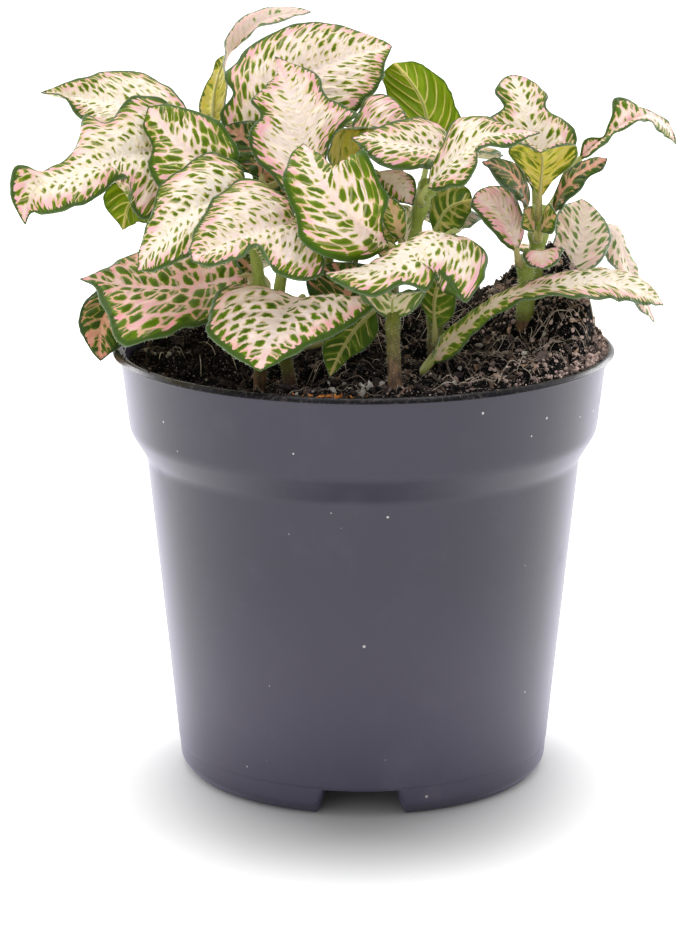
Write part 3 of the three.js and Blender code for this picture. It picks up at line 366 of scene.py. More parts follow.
def reached(points):
    """The length along a line of points, from its start to each of them."""
    return np.concatenate([[0], np.cumsum(np.linalg.norm(np.diff(points, axis=0), axis=1))])


def around(r, turn, z):
    """Points at a radius, an angle about Z and a height."""
    x, y = r * np.cos(turn), r * np.sin(turn)
    return np.stack([x, y, z + 0 * x], -1)


def lattice(cells, seed):
    """A repeatable random number from -1 to 1 for each whole-number cell."""
    h = cells[..., 0] * 73856093 ^ cells[..., 1] * 19349663 ^ cells[..., 2] * 83492791 ^ seed * 2654435
    h = (h ^ (h >> 13)) * 1274126177 & 0x7FFFFFFF
    return (h ^ (h >> 16)) % 65536 / 32767.5 - 1


def noise(p, size, seed=0):
    """Smooth noise from -1 to 1: random values on a cubic lattice of that size, blended by smoothsteps."""
    q = np.asarray(p, float) / size
    cell = np.floor(q).astype(np.int64)
    t = q - cell
    t = t * t * (3 - 2 * t)
    total = 0
    for corner in np.ndindex(2, 2, 2):
        weight = np.prod(np.where(corner, t, 1 - t), axis=-1)
        total = total + weight * lattice(cell + np.array(corner), seed)
    return total


def curve_through(points):
    """A curve through points, as a function of u from 0 to 1 in proportion to the distance between them.

    Each span is a cubic Hermite, p0(1+2t)(1-t)^2 + m0 h t(1-t)^2 + p1 t^2(3-2t) - m1 h t^2(1-t). Inner
    tangents m weigh the two slopes by the other span's length, and the ends have no curvature.
    """
    points = np.array(points, float)
    spans = np.linalg.norm(np.diff(points, axis=0), axis=1)
    knots = np.concatenate([[0], np.cumsum(spans)])
    slopes = np.diff(points, axis=0) / spans[:, None]
    tangents = np.repeat(slopes[:1], len(points), axis=0)
    if len(points) > 2:
        before, after = spans[:-1, None], spans[1:, None]
        tangents[1:-1] = (slopes[:-1] * after + slopes[1:] * before) / (before + after)
        tangents[0] = 1.5 * slopes[0] - 0.5 * tangents[1]
        tangents[-1] = 1.5 * slopes[-1] - 0.5 * tangents[-2]

    def at(u):
        along = np.clip(u, 0, 1) * knots[-1]
        i = np.clip(np.searchsorted(knots, along) - 1, 0, len(spans) - 1)
        h = spans[i][..., None]
        t = ((along - knots[i]) / spans[i])[..., None]
        return (
            points[i] * (1 + 2 * t) * (1 - t) ** 2
            + tangents[i] * h * t * (1 - t) ** 2
            + points[i + 1] * t * t * (3 - 2 * t)
            - tangents[i + 1] * h * t * t * (1 - t)
        )

    return at


def bezier(p0, p1, p2, p3, t):
    """The cubic Bezier curve p0(1-t)^3 + 3p1 t(1-t)^2 + 3p2 t^2(1-t) + p3 t^3."""
    t = t[:, None]
    return p0 * (1 - t) ** 3 + 3 * p1 * t * (1 - t) ** 2 + 3 * p2 * t * t * (1 - t) + p3 * t**3


# ------------------------------------------------------------------------------------- surface meshes
class Shell:
    """The points, faces and named values of one piece, gathered from several closed surfaces."""

    def __init__(self):
        self.points, self.faces, self.slots, self.values = [], [], [], {}
        self.count = 0

    def add(self, points, faces, slot=0, **values):
        """Adds one surface: points (n, 3), faces a list of index arrays, and one value a point by name."""
        points = np.asarray(points, float).reshape(-1, 3)
        self.points.append(points)
        for block, which in zip(faces, np.broadcast_to(slot, len(faces))):
            self.faces.append(block + self.count)
            self.slots.append(np.full(len(block), which))
        for name in sorted(set(values) | set(self.values)):
            had = self.values.setdefault(name, [np.zeros((self.count, 3))] if self.count else [])
            had.append(np.broadcast_to(values.get(name, 0.0), (len(points), 3)))
        self.count += len(points)

    def piece(self, name, materials, replaces=(), smooth=True):
        """Makes the mesh, in metres, and ties it to the frame."""
        mesh = bpy.data.meshes.new(name)
        sizes = np.concatenate([np.full(len(f), f.shape[1]) for f in self.faces])
        mesh.vertices.add(self.count)
        mesh.vertices.foreach_set("co", (np.concatenate(self.points) * MM).ravel())
        mesh.loops.add(int(sizes.sum()))
        mesh.loops.foreach_set("vertex_index", np.concatenate([f.ravel() for f in self.faces]))
        mesh.polygons.add(len(sizes))
        mesh.polygons.foreach_set("loop_start", np.concatenate([[0], np.cumsum(sizes)[:-1]]))
        mesh.polygons.foreach_set("material_index", np.concatenate(self.slots))
        mesh.polygons.foreach_set("use_smooth", np.full(len(sizes), smooth))
        for key, parts in self.values.items():
            layer = mesh.attributes.new(key, "FLOAT_VECTOR", "POINT")
            layer.data.foreach_set("vector", np.concatenate(parts).ravel())
        mesh.update(calc_edges=True)
        for material in materials:
            mesh.materials.append(material)
        made = put(name, mesh)
        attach(made, "root")
        if replaces:
            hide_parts(*replaces)
        return made


def skin(rings):
    """Faces that join rings of points into a closed tube: quads from ring to ring, and a ladder of quads
    from the first half of each end ring to its second half."""
    bands, count = rings.shape[:2]
    i, j = np.meshgrid(np.arange(bands - 1) * count, np.arange(count), indexing="ij")
    after = (j + 1) % count
    sides = np.stack([i + j, i + after, i + count + after, i + count + j], -1)
    k = np.arange(count // 2 - 1)
    rungs = np.stack([k, count - 1 - k, count - 2 - k, k + 1], -1)
    return sides.reshape(-1, 4), rungs, rungs[:, ::-1] + (bands - 1) * count


def tube_rings(path, radii, sides, lumps=0.0, seed=0):
    """Rings round a path: centre + r (cos v * side + sin v * over), where side and over are square to the
    path and side lies in no plane that the path turns in, with noise of height lumps on the radius."""
    along = unit(np.gradient(path, axis=0))
    least = np.linalg.svd(along, full_matrices=True)[2][-1]
    side = unit(np.cross(least, along))
    over = np.cross(along, side)
    v = np.pi * (1 - (2 * np.arange(sides) + 1) / sides)[None, :, None]
    out = side[:, None] * np.cos(v) - over[:, None] * np.sin(v)
    rings = path[:, None] + out * np.asarray(radii).reshape(-1, 1, 1)
    return rings + out * lumps * noise(rings, 1.8, seed)[..., None]


def hairs(roots, directions, lengths, radius):
    """Thin bent spikes: two triangles of the radius and 0.7 of it, then a point, each hair bowing down."""
    n = len(roots)
    directions = unit(directions)
    side = unit(np.cross(directions, UP + 1e-3))
    over = np.cross(directions, side)
    v = 2 * np.pi * np.arange(3) / 3
    around = side[:, None] * np.cos(v)[:, None] + over[:, None] * np.sin(v)[:, None]
    reach = directions * lengths[:, None]
    middle = roots + 0.55 * reach
    tip = roots + reach - UP * (HAIR_BEND * lengths)[:, None]
    points = np.concatenate(
        [roots[:, None] + around * radius, middle[:, None] + around * 0.7 * radius, tip[:, None]], 1
    )
    base = 7 * np.arange(n)[:, None, None]
    quads = np.array([[0, 1, 4, 3], [1, 2, 5, 4], [2, 0, 3, 5]]) + base
    ends = np.array([[0, 2, 1], [3, 4, 6], [4, 5, 6], [5, 3, 6]]) + base
    return points, [quads.reshape(-1, 4), ends.reshape(-1, 3)]


def ball_corners():
    """The twelve corners of a twenty-faced ball: (+-1, +-g, 0) and its turns, with g the golden ratio."""
    golden = (1 + 5**0.5) / 2
    flat = [(-1, golden, 0), (1, golden, 0), (-1, -golden, 0), (1, -golden, 0)]
    return np.array(flat + [(0, a, b) for a, b, _ in flat] + [(b, 0, a) for a, b, _ in flat])


def grains(centres, sizes, tilt, rng):
    """Small stones: a twenty-faced ball per centre, jagged, stretched by sizes (n, 3), tilted and turned.

    A tilt of 0 lies level, and 1 leans by up to half a turn.
    """
    n = len(centres)
    ball = unit(ball_corners())
    corners = ball[None] * (1 + JAG * rng.uniform(-1, 1, (n, 12, 1))) * sizes[:, None] / 2
    turn, lean, way = rng.uniform(0, 2 * np.pi, (3, n))
    turned = spin(corners, np.tile(UP, (n, 1)), turn)
    axis = around(1, way, 0)
    faces = BALL_FACES + 12 * np.arange(n)[:, None, None]
    return spin(turned, axis, lean / 2 * tilt) + centres[:, None], [faces.reshape(-1, 3)]


def spin(points, axis, angle):
    """Turns each row of points (n, m, 3) about its axis: v cos a + (k x v) sin a + k (k.v)(1 - cos a)."""
    k, a = axis[:, None], angle[:, None, None]
    dot = (k * points).sum(-1, keepdims=True)
    return points * np.cos(a) + np.cross(k, points) * np.sin(a) + k * dot * (1 - np.cos(a))


def ball_faces():
    """The twenty faces of the ball, facing out."""
    ball = ball_corners()
    near = np.linalg.norm(ball[:, None] - ball[None], axis=-1) < 2.1
    faces = []
    for i, j, k in np.ndindex(12, 12, 12):
        if i < j < k and near[i, j] and near[j, k] and near[i, k]:
            outward = np.dot(np.cross(ball[j] - ball[i], ball[k] - ball[i]), ball[i]) > 0
            faces.append((i, j, k) if outward else (i, k, j))
    return np.array(faces)


BALL_FACES = ball_faces()

# -------------------------------------------------------------------------------- stems and stalks
def soil_height(x, y):
    """Height of the soil: bell-shaped swells and two crossed waves of lumps, eased to its edge level by a
    smoothstep over the edge band."""
    x, y = np.asarray(x, float), np.asarray(y, float)
    z = sum(
        rise * np.exp(-(((x - cx) / wide) ** 2) - ((y - cy) / deep) ** 2)
        for cx, cy, wide, deep, rise in SOIL["swells"]
    )
    z = z + SOIL["clod"] * (np.sin(0.31 * x + 1.3) * np.cos(0.27 * y) + np.sin(0.53 * y + 0.4 * x))
    ease = smoothstep((SOIL_RADIUS - np.hypot(x, y)) / SOIL["edge_band"], 0, 1)
    return SOIL["edge_level"] + (SOIL["level"] + z - SOIL["edge_level"]) * ease


SOIL_RADIUS = POT["rim_radius"] - POT["rim_width"] - 0.2 - SOIL["wall_gap"]


def stem_path(name):
    """The stem's curve above the soil, its root's end and the height of the ground at its foot."""
    points = np.array(STEMS[name], float)
    ground = soil_height(*points[0, :2])
    collar = np.array([*points[0, :2], ground + STEM["above_soil"]])
    above = points[1:][points[1:, 2] > collar[2] + STEM["clear"]]
    root = collar - UP * (STEM["root_depth"] + STEM["above_soil"])
    return curve_through([collar, *above]), root, ground


def blade_surface(leaf):
    """The blade as a function of s, base to tip, and a, left edge (-1) over rib (0) to right edge (1):
    rib(s) + |a| (edge(s) - rib(s))."""
    left, right = (curve_through([leaf["base"], *leaf[side], leaf["tip"]]) for side in ("left", "right"))
    half = np.array([0.5])
    between = leaf["rib"] or [*(left(half) + right(half)) / 2]
    rib = curve_through([leaf["base"], *between, leaf["tip"]])

    def at(s, a):
        edge = np.where((a < 0)[..., None], left(s), right(s))
        return rib(s) + (edge - rib(s)) * np.abs(a)[..., None]

    return at


def stalk_path(leaf, surface):
    """The stalk's points: a Bezier curve that leaves the stem square to it and arrives along the rib."""
    curve = stem_path(leaf["stem"])[0]
    foot = np.array(leaf["base"], float)
    u = np.linspace(0, 1, STEM["places"] + 1)
    best = u[np.argmin(np.linalg.norm(curve(u) - foot + UP * STALK["drop"], axis=1))]
    joint, before, after = curve(np.array([best, best - 0.01, best + 0.01]))
    axis = unit(after - before)
    out = foot - joint
    out = unit(out - axis * (out @ axis))
    begin = joint + out * STEM["radius"]
    zero = np.zeros(2)
    heading = unit(np.diff(surface(np.array([0.02, 0.12]), zero), axis=0)[0])
    chord = foot - begin
    bend = sum(np.arccos(np.clip(unit(chord) @ way, -1, 1)) for way in (out, heading))
    share = min(STALK["reach"] + STALK["reach_per_bend"] * bend, STALK["reach_most"])
    reach = np.linalg.norm(chord) * share
    t = np.linspace(0, 1, STALK["places"])
    path = bezier(begin, begin + out * reach, foot - heading * reach, foot, t)
    return np.concatenate([[joint + out * STALK["sunk"]], path]), best


# how many times thicker a stem is than the rest, and how many times lower its bark turns green; the high
# values of stem_right and stem_right_small also paint light on these shaded stems by turning them lime sooner
STOUT = {"stem_right": 1.35, "stem_front": 1.05, "stem_right_small": 1.45, "stem_centre": 1.3}
SOONER = {"stem_right": 4.0, "stem_right_small": 8.0, "stem_front": 0.5, "stem_centre": 1.5}


def stem_piece(name, joints, material):
    """A stem: a tube along its path, straight down in the soil and closed by a rounded bud on top, with a
    swelling e^-((d/length)^2) at distance d from each joint of a stalk."""
    curve, root, ground = stem_path(name)
    u = np.linspace(0, 1, STEM["places"])
    top = curve(u)
    along = unit(top[-1] - top[-2])
    bud = top[-1] + along * np.array(STEM["bud"])[:, None]
    path = np.concatenate([[root, root + UP * 7], top, bud])
    radii = np.interp(u, [0, 1], [STEM["radius"], STEM["top_radius"]]) * STOUT.get(name, 1.0)
    for place in joints:
        gap = np.linalg.norm(top - curve(np.array([place])), axis=1)
        radii = radii + STEM["swelling"] * np.exp(-((gap / STEM["swelling_length"]) ** 2))
    root_radii = [radii[0] * 0.6, radii[0]]
    radii = np.concatenate([root_radii, radii, radii[-1] * np.array(STEM["bud_radii"])])
    rings = tube_rings(path, radii, STEM["sides"], lumps=STEM["lumps"], seed=len(name))
    shell = Shell()
    height = (rings[..., 2] - ground).ravel() * SOONER.get(name, 1.0)
    place = np.stack([height, np.repeat(np.linspace(0, 1, len(path)), STEM["sides"]), 0 * height], -1)
    shell.add(rings, skin(rings), grown=place)
    shell.piece(name + "_bark", [material], [name])
    bare = slice(2, -len(STEM["bud"]))
    return path[bare], radii[bare], ground


# ------------------------------------------------------------------------------------------ leaves
BLADE = {
    "rows": 76,
    "columns": 45,
    "start": 0.012,  # where the grid starts on the rib, and the share of the rib that it covers
    "span": 0.984,
    "edge_steps": 260,
    "edge_band": 1.5,  # width of the band in which the blade thins out
    "vein_width": 0.45,
    "thick": 0.27,  # half the thickness at the middle of a blade, and at its edge
    "thin": 0.13,
    "crown": 0.075,  # height of each half's arch, as a share of its width
    "vein_pitch": 4.1,  # from one side vein to the next
    "vein_power": 1.3,
    "quilt": 0.3,
    "ruffle": 0.3,
    "ruffle_length": 7.5,
    "scallop": 0.65,  # how far the outline strays sideways, over waves of the next length
    "scallop_length": 3.6,
    "vein_height": 0.22,
}


def blade_rows():
    """Where the grid's rows cross the rib, from 0 at the base to 1 at the tip."""
    return BLADE["start"] + BLADE["span"] * np.linspace(0, 1, BLADE["rows"])


def blade_grid(leaf, number, lean):
    """The blade's middle surface, normals, vein coordinates and edge distance on its grid.

    The surface is the construction's, raised along its normal by arch (4|a|(1-|a|) of the half's width),
    quilting between side veins (1 - cos of the vein phase), ruffles that grow as a^4, and slow noise.
    Its outline strays sideways by noise times a^6.
    The place on the blade is (A, B, M): A is where on the rib the side vein through the point starts, B the
    distance from the rib, negative on the left, and M the distance from the nearest edge.
    """
    surface = blade_surface(leaf)
    s = blade_rows()
    a = np.linspace(-1, 1, BLADE["columns"])
    s, a = np.meshgrid(s, a, indexing="ij")
    flat = surface(s, a)
    across, along = np.gradient(flat, axis=1), np.gradient(flat, axis=0)
    normal = np.cross(unit(across), unit(along))
    for _ in range(3):
        normal[1:-1] = normal[1:-1] * 2 + normal[:-2] + normal[2:]
        normal[:, 1:-1] = normal[:, 1:-1] * 2 + normal[:, :-2] + normal[:, 2:]
        normal = unit(normal)
    half = np.linalg.norm(surface(s, np.sign(a + 1e-9)) - surface(s, 0 * a), axis=-1)
    rib = flat[:, BLADE["columns"] // 2]
    rib_length = reached(rib)
    out = np.abs(a) * half
    vein = rib_length[:, None] - lean * out ** BLADE["vein_power"]
    steps = np.linspace(0, 1, BLADE["edge_steps"])
    edges = np.concatenate([surface(steps, 0 * steps + side) for side in (-1, 1)])
    margin = np.stack([np.linalg.norm(row[:, None] - edges[None], axis=-1).min(1) for row in flat])
    ends = smoothstep(s, 0, 0.1) * smoothstep(1 - s, 0, 0.08)
    arch = BLADE["crown"] * half * 4 * np.abs(a) * (1 - np.abs(a))
    phase = 2 * np.pi * vein / BLADE["vein_pitch"]
    quilt = BLADE["quilt"] * (1 - np.cos(phase)) * smoothstep(out, 1, 5) * (1 - a**4)
    turn = np.where(a < 0, 0.0, 1.9) + number
    wave = 2 * np.pi * rib_length[:, None] / BLADE["ruffle_length"] + turn
    ruffle = BLADE["ruffle"] * a**4 * np.sin(wave + 0.7 * np.sin(0.6 * wave))
    slow = 0.3 * noise(flat, 8.0, number) + 0.1 * noise(flat, 2.6, number + 90)
    lift = (arch + quilt + ruffle + slow * np.minimum(1, margin / 2)) * ends
    stray = BLADE["scallop"] * noise(flat, BLADE["scallop_length"], number + 40)
    stray = stray + 0.12 * noise(flat, 1.1, number + 60)
    outward = unit(across) * (stray * np.sign(a) * a**6 * ends * smoothstep(half, 1, 5))[..., None]
    place = np.stack([vein, a * half, margin], -1)
    return flat + outward + normal * lift[..., None], normal, place, phase, half


def leaf_piece(leaf, number):
    """A leaf: a thin closed blade and a stalk that tapers into the raised rib under it.

    The blade's two faces stand half a thickness off its middle surface, and the under one is raised along
    the side veins by a narrow bell, vein_height e^-((d/vein_width)^2) at distance d from a vein.
    """
    top_face, under_face, pink, green, lean = KINDS[leaf["looks"]]
    middle, normal, place, phase, wide = blade_grid(leaf, number, lean)
    near_edge = smoothstep(place[..., 2], 0, BLADE["edge_band"])[..., None]
    half = BLADE["thin"] + (BLADE["thick"] - BLADE["thin"]) * near_edge
    off_vein = np.arcsin(np.abs(np.sin(phase / 2))) / np.pi * BLADE["vein_pitch"]
    rise = BLADE["vein_height"] * np.exp(-((off_vein / BLADE["vein_width"]) ** 2))[..., None] * near_edge
    top, under = middle + normal * half, middle - normal * (half + rise)
    rings = np.concatenate([top, under[:, ::-1]], 1)
    places = np.concatenate([place, place[:, ::-1]], 1)
    widths = np.concatenate([wide, wide[:, ::-1]], 1).reshape(-1, 1)
    sides, start, end = skin(rings)
    count = rings.shape[1]
    on_top = np.tile(np.arange(count) < BLADE["columns"], BLADE["rows"] - 1)
    on_top[count - 1 :: count] = True
    habit = np.array([pink, green, 1.37 * number % 10])
    shell = Shell()
    faces = [sides[on_top], sides[~on_top], start, end]
    shell.add(rings, faces, [0, 1, 0, 0], place=places.reshape(-1, 3), habit=habit, grown=widths)
    stalk, joint = stalk_path(leaf, blade_surface(leaf))
    ribs = np.linspace(0.03, 0.86, 26)
    rows = np.interp(ribs, blade_rows(), np.arange(BLADE["rows"]))
    rows = np.round(rows).astype(int)
    centre = BLADE["columns"] // 2
    under_rib = middle[rows, centre] - normal[rows, centre] * STALK["under"]
    path = np.concatenate([stalk, under_rib])
    share = np.interp(np.arange(len(path)), [0, 2, len(stalk) - 1, len(path) - 1], [0, 0.15, 0.5, 1])
    along = reached(path)
    kept = np.concatenate([[True], np.diff(along) > STALK["closest"]])
    path, share, along = path[kept], share[kept], along[kept]
    radii = np.interp(share, STALK["shares"], STALK["radii"])
    tube = tube_rings(path, radii, STALK["sides"], lumps=STALK["lumps"], seed=number)
    grown = np.repeat(np.stack([along, share, 0 * share], -1), STALK["sides"], 0)
    shell.add(tube, skin(tube), 2, grown=grown, habit=habit, place=STALK["look"])
    materials = [MATERIALS[face] for face in (top_face, under_face, "stalk")]
    replaced = [] if leaf in BRACTS else [leaf["name"]]
    shell.piece(leaf["name"] + "_blade", materials, replaced)
    free = share <= 0.5
    return joint, middle, normal, (path[free], radii[free])

# ---------------------------------------------------------------------------------- the soil and pot
# banks of soil against the wall: the angle of the middle in degrees, half width, height, and the radii
# between which it rises, and the share of it that the slope to the wall takes away
BANKS = (
    {"angle": 10.0, "spread": 24.0, "rise": 14.0, "from": (37, 49), "slump": 0.3},
    {"angle": -45.0, "spread": 62.0, "rise": 4.5, "from": (44, 54), "slump": 0.0},
)
# the dark hollow in the soil on the left: a real dip, with painted shade on its crumbs and fewer pale fibres
# in it
HOLLOW = {"x": -39.0, "y": -12.0, "wide": 17.0, "deep": 6.0}


def hollow(x, y):
    """How far inside the hollow a place is: e^-(d^4), with d the distance from its middle over its width."""
    return np.exp(-(np.hypot(x - HOLLOW["x"], y - HOLLOW["y"]) / HOLLOW["wide"]) ** 4)


def rough_height(x, y):
    """The soil's height with crumbs: three sizes of noise on the smooth surface, less near the wall, with
    the hollow taken off and banks added, each a bell of the angle times a smoothstep of the radius."""
    p = np.stack([x, y, 0 * x], -1)
    r = np.hypot(x, y)
    lumps = sum(height * noise(p, size, seed) for height, size, seed in SOIL["rough"])
    ease = smoothstep(SOIL_RADIUS - r, -0.5, 3)
    turn = np.degrees(np.arctan2(y, x))
    near_wall = smoothstep(r, 53, SOIL_RADIUS)
    for bank in BANKS:
        bell = np.exp(-(((turn - bank["angle"]) / bank["spread"]) ** 2))
        rise = bank["rise"] * bell * smoothstep(r, *bank["from"])
        lumps = lumps + rise * (1 - bank["slump"] * near_wall)
    return soil_height(x, y) + lumps * (0.45 + 0.55 * ease) - HOLLOW["deep"] * hollow(x, y)


def on_soil(x, y):
    return np.stack([x, y, rough_height(x, y)], -1)


def soil_piece(material):
    """The filling: rings under the surface follow the pot's inside, and rings on it run to the middle."""
    turns = 2 * np.pi * np.arange(SOIL["turns"]) / SOIL["turns"]
    inside_foot = POT["foot_radius"] + 2.6 - POT["wall"]
    gap = SOIL["wall_gap"]
    floor = POT["floor_top"] + 0.3
    low = [(SOIL["middle"], floor), (inside_foot - gap, floor)]
    low += [(POT["step_radius"] - POT["wall"] - gap, POT["step_low"] - 0.5)]
    low += [(POT["collar_radius"] - POT["wall"] - gap, POT["step_high"] + 0.5)]
    rings = [around(r, turns, z) for r, z in low]
    radii = SOIL_RADIUS * (1 - np.linspace(0, 1, SOIL["rings"]) ** 1.15)
    radii[-1] = SOIL["middle"]
    x, y = radii[:, None] * np.cos(turns), radii[:, None] * np.sin(turns)
    top = on_soil(x, y)
    shell = Shell()
    rings = np.concatenate([np.stack(rings), top])
    shell.add(rings, skin(rings))
    shell.piece("soil_filling", [material], ["soil"])


def scatter(rng, n, reach=SOIL_RADIUS - 1.0, clear=2.0):
    """n places on the soil, evenly over its disc, and clear of the stems' feet."""
    feet = np.array([path[0][:2] for path in STEMS.values()])
    r, v = reach * np.sqrt(rng.uniform(0, 1, 2 * n)), rng.uniform(0, 2 * np.pi, 2 * n)
    places = np.stack([r * np.cos(v), r * np.sin(v)], -1)
    far = np.linalg.norm(places[:, None] - feet[None], axis=-1).min(1) > clear
    x, y = places[far][:n].T
    return on_soil(x, y)


HEAP = {"angle": 2.0, "spread": 23.0, "out": 3.3, "rise": 5.0}


def heap(rng, n):
    """n places in the soil that lies over the rim on the right: a wedge from the wall out onto the rim."""
    turn = rng.normal(0, 1, n)
    out = rng.uniform(0, 1, n) ** 1.2
    top = HEAP["rise"] * (1 - out) * np.exp(-(turn**2)) * rng.uniform(0, 1, n)
    v = np.radians(HEAP["angle"] + HEAP["spread"] * turn)
    r = SOIL_RADIUS - 1 + HEAP["out"] * out
    return around(r, v, POT["height"] + top)


def pinch(rng, n, x, y, spread):
    """n places on the soil about a point, thinner further off it."""
    x, y = x + spread * rng.normal(0, 1, n), y + spread * rng.normal(0, 1, n)
    return on_soil(x, y)


def on_rim(rng, n, angle, spread):
    """n places on top of the pot's rim, about an angle."""
    v = np.radians(angle + spread * rng.normal(0, 1, n))
    r = POT["rim_radius"] - rng.uniform(1.2, POT["rim_width"], n)
    return around(r, v, POT["height"])


# least and most width of a crumb and of a shred of bark, as shares of its length
CRUMB = (0.35, 0.95)
SHRED = (0.15, 0.4)
# the lighter soil to the right is partly paler grains and partly painted light
LIT_TO = 56.0  # the soil is lighter to the right, from the middle to this far out


def crumb_pieces(rng):
    """What lies in the surface: dark crumbs, pale mineral grains and bark chips, and some on the rim."""
    kinds = (
        # name, places, smallest and largest, height as a share of length, tilt, range of tone, material
        ("soil_crumbs", scatter(rng, 9800), 0.25, 1.6, 0.8, 1.0, (0.0, 0.95), "crumb"),
        ("soil_spill", heap(rng, 1500), 0.3, 1.5, 0.8, 1.0, (0.0, 0.8), "crumb"),
        ("soil_clods", scatter(rng, 330), 1.8, 3.8, 0.6, 0.6, (0.0, 0.35), "crumb"),
        ("soil_perlite", scatter(rng, 420), 0.25, 1.8, 0.8, 1.0, (0.0, 1.0), "perlite"),
        ("soil_perlite_pinch", pinch(rng, 46, -4.5, -46, 3.2), 0.5, 2.6, 0.8, 1.0, (0.0, 1.0), "perlite"),
        ("soil_bark", scatter(rng, 1800), 0.8, 3.6, 0.25, 0.9, (0.0, 1.0), "bark"),
        ("rim_chips", on_rim(rng, 34, -98, 4.5), 0.5, 1.7, 0.5, 0.4, (0.2, 1.0), "chip"),
        ("rim_dust", on_rim(rng, 260, -90, 60), 0.15, 0.7, 0.7, 1.0, (0.0, 1.0), "crumb"),
    )
    for name, places, small, large, height, tilt, tones, material in kinds:
        count = len(places)
        size = small * (large / small) ** rng.uniform(0, 1, count) ** 1.7
        slim = rng.uniform(*(SHRED if name == "soil_bark" else CRUMB), count)
        sizes = np.stack([size, size * slim, size * height * rng.uniform(0.7, 1.1, count)], -1)
        places[:, 2] += 0.22 * sizes[:, 2]
        points, faces = grains(places, sizes, tilt, rng)
        # painted light, with partly paler grains: crumbs are lighter towards the right
        lit = smoothstep(places[:, 0], 0, LIT_TO)
        tone = rng.uniform(*tones, count) ** (2.6 - lit) * (0.85 + 0.9 * lit) + 0.4 * lit - 0.05
        tone = np.clip(tone + 0.4 * noise(places, 4.0, 21), 0, 1.6)
        # painted shade: crumbs inside the hollow are darker
        tone = tone * (1 - 0.6 * hollow(*places[:, :2].T))
        shell = Shell()
        shell.add(points, faces, grown=np.repeat(tone, 12)[:, None])
        shell.piece(name, [MATERIALS[material]], smooth=False)


FIBRE = {
    "tried": 1500,
    "clear": 2.5,  # no fibre has its middle this close to a stem
    "length": (1.5, 9),
    "radius": (0.04, 0.11),
    "bow": 0.2,  # how far fibres bow sideways, as a share of their length
    "arch": (0.2, 1.6),  # how far they stand off the soil
    "off_soil": 0.2,
    "least": 4,  # fibres with fewer points than this inside the pot are left out
}


def fibre_piece(rng):
    """Root fibres: tubes along c + d t + b (1 - 4 t^2), t from -1/2 to 1/2, on the soil and a little up."""
    count = FIBRE["tried"]
    foot = scatter(rng, count, clear=FIBRE["clear"])
    # fewer pale fibres inside the hollow, as painted shade
    share = (0.25 + 0.75 * smoothstep(foot[:, 0], -5, 30)) * (1 - hollow(*foot[:, :2].T))
    dry = rng.uniform(0, 1, count) < share
    foot, count = foot[dry], dry.sum()
    way = rng.uniform(0, 2 * np.pi, count)
    length = rng.uniform(*FIBRE["length"], count)
    heading = around(1, way, 0) * length[:, None]
    sideways = np.stack([-np.sin(way), np.cos(way), 0 * way], -1)
    sideways = sideways * (length * rng.normal(0, FIBRE["bow"], count))[:, None]
    t = np.linspace(-0.5, 0.5, 9)
    shell = Shell()
    for i in range(count):
        path = foot[i] + heading[i] * t[:, None] + sideways[i] * (1 - 4 * t[:, None] ** 2)
        inside = np.hypot(*path[:, :2].T) < SOIL_RADIUS - 0.6
        if inside.sum() < FIBRE["least"]:
            continue
        path = path[inside]
        arch = rng.uniform(*FIBRE["arch"]) * np.abs(np.sin(0.5 * path[:, 0] + i))
        path[:, 2] = rough_height(path[:, 0], path[:, 1]) + FIBRE["off_soil"] + arch
        radius = rng.uniform(*FIBRE["radius"])
        rings = tube_rings(path, radius * np.interp(t[inside], [-0.5, 0, 0.5], [0.5, 1, 0.4]), 4)
        shell.add(rings, skin(rings), grown=rng.uniform(0, 1))
    shell.piece("soil_fibres", [MATERIALS["fibre"]])


def eased(corners, steps=5):
    """A profile (r, z, ease) with each inner corner rounded: points of the parabola through two points at
    the ease from the corner, or at 0.45 of the shorter side if that is less."""
    corners, reaches = np.array(corners, float)[:, :2], [c[2] for c in corners]
    rounded = [corners[:1]]
    for before, corner, after, ease in zip(corners, corners[1:], corners[2:], reaches[1:]):
        a, b = before - corner, after - corner
        reach = min(ease, 0.45 * np.linalg.norm(a), 0.45 * np.linalg.norm(b))
        t = np.linspace(0, 1, steps)[:, None]
        start, end = corner + unit(a) * reach, corner + unit(b) * reach
        rounded.append(start * (1 - t) ** 2 + 2 * corner * t * (1 - t) + end * t**2)
    return np.concatenate([*rounded, corners[-1:]])


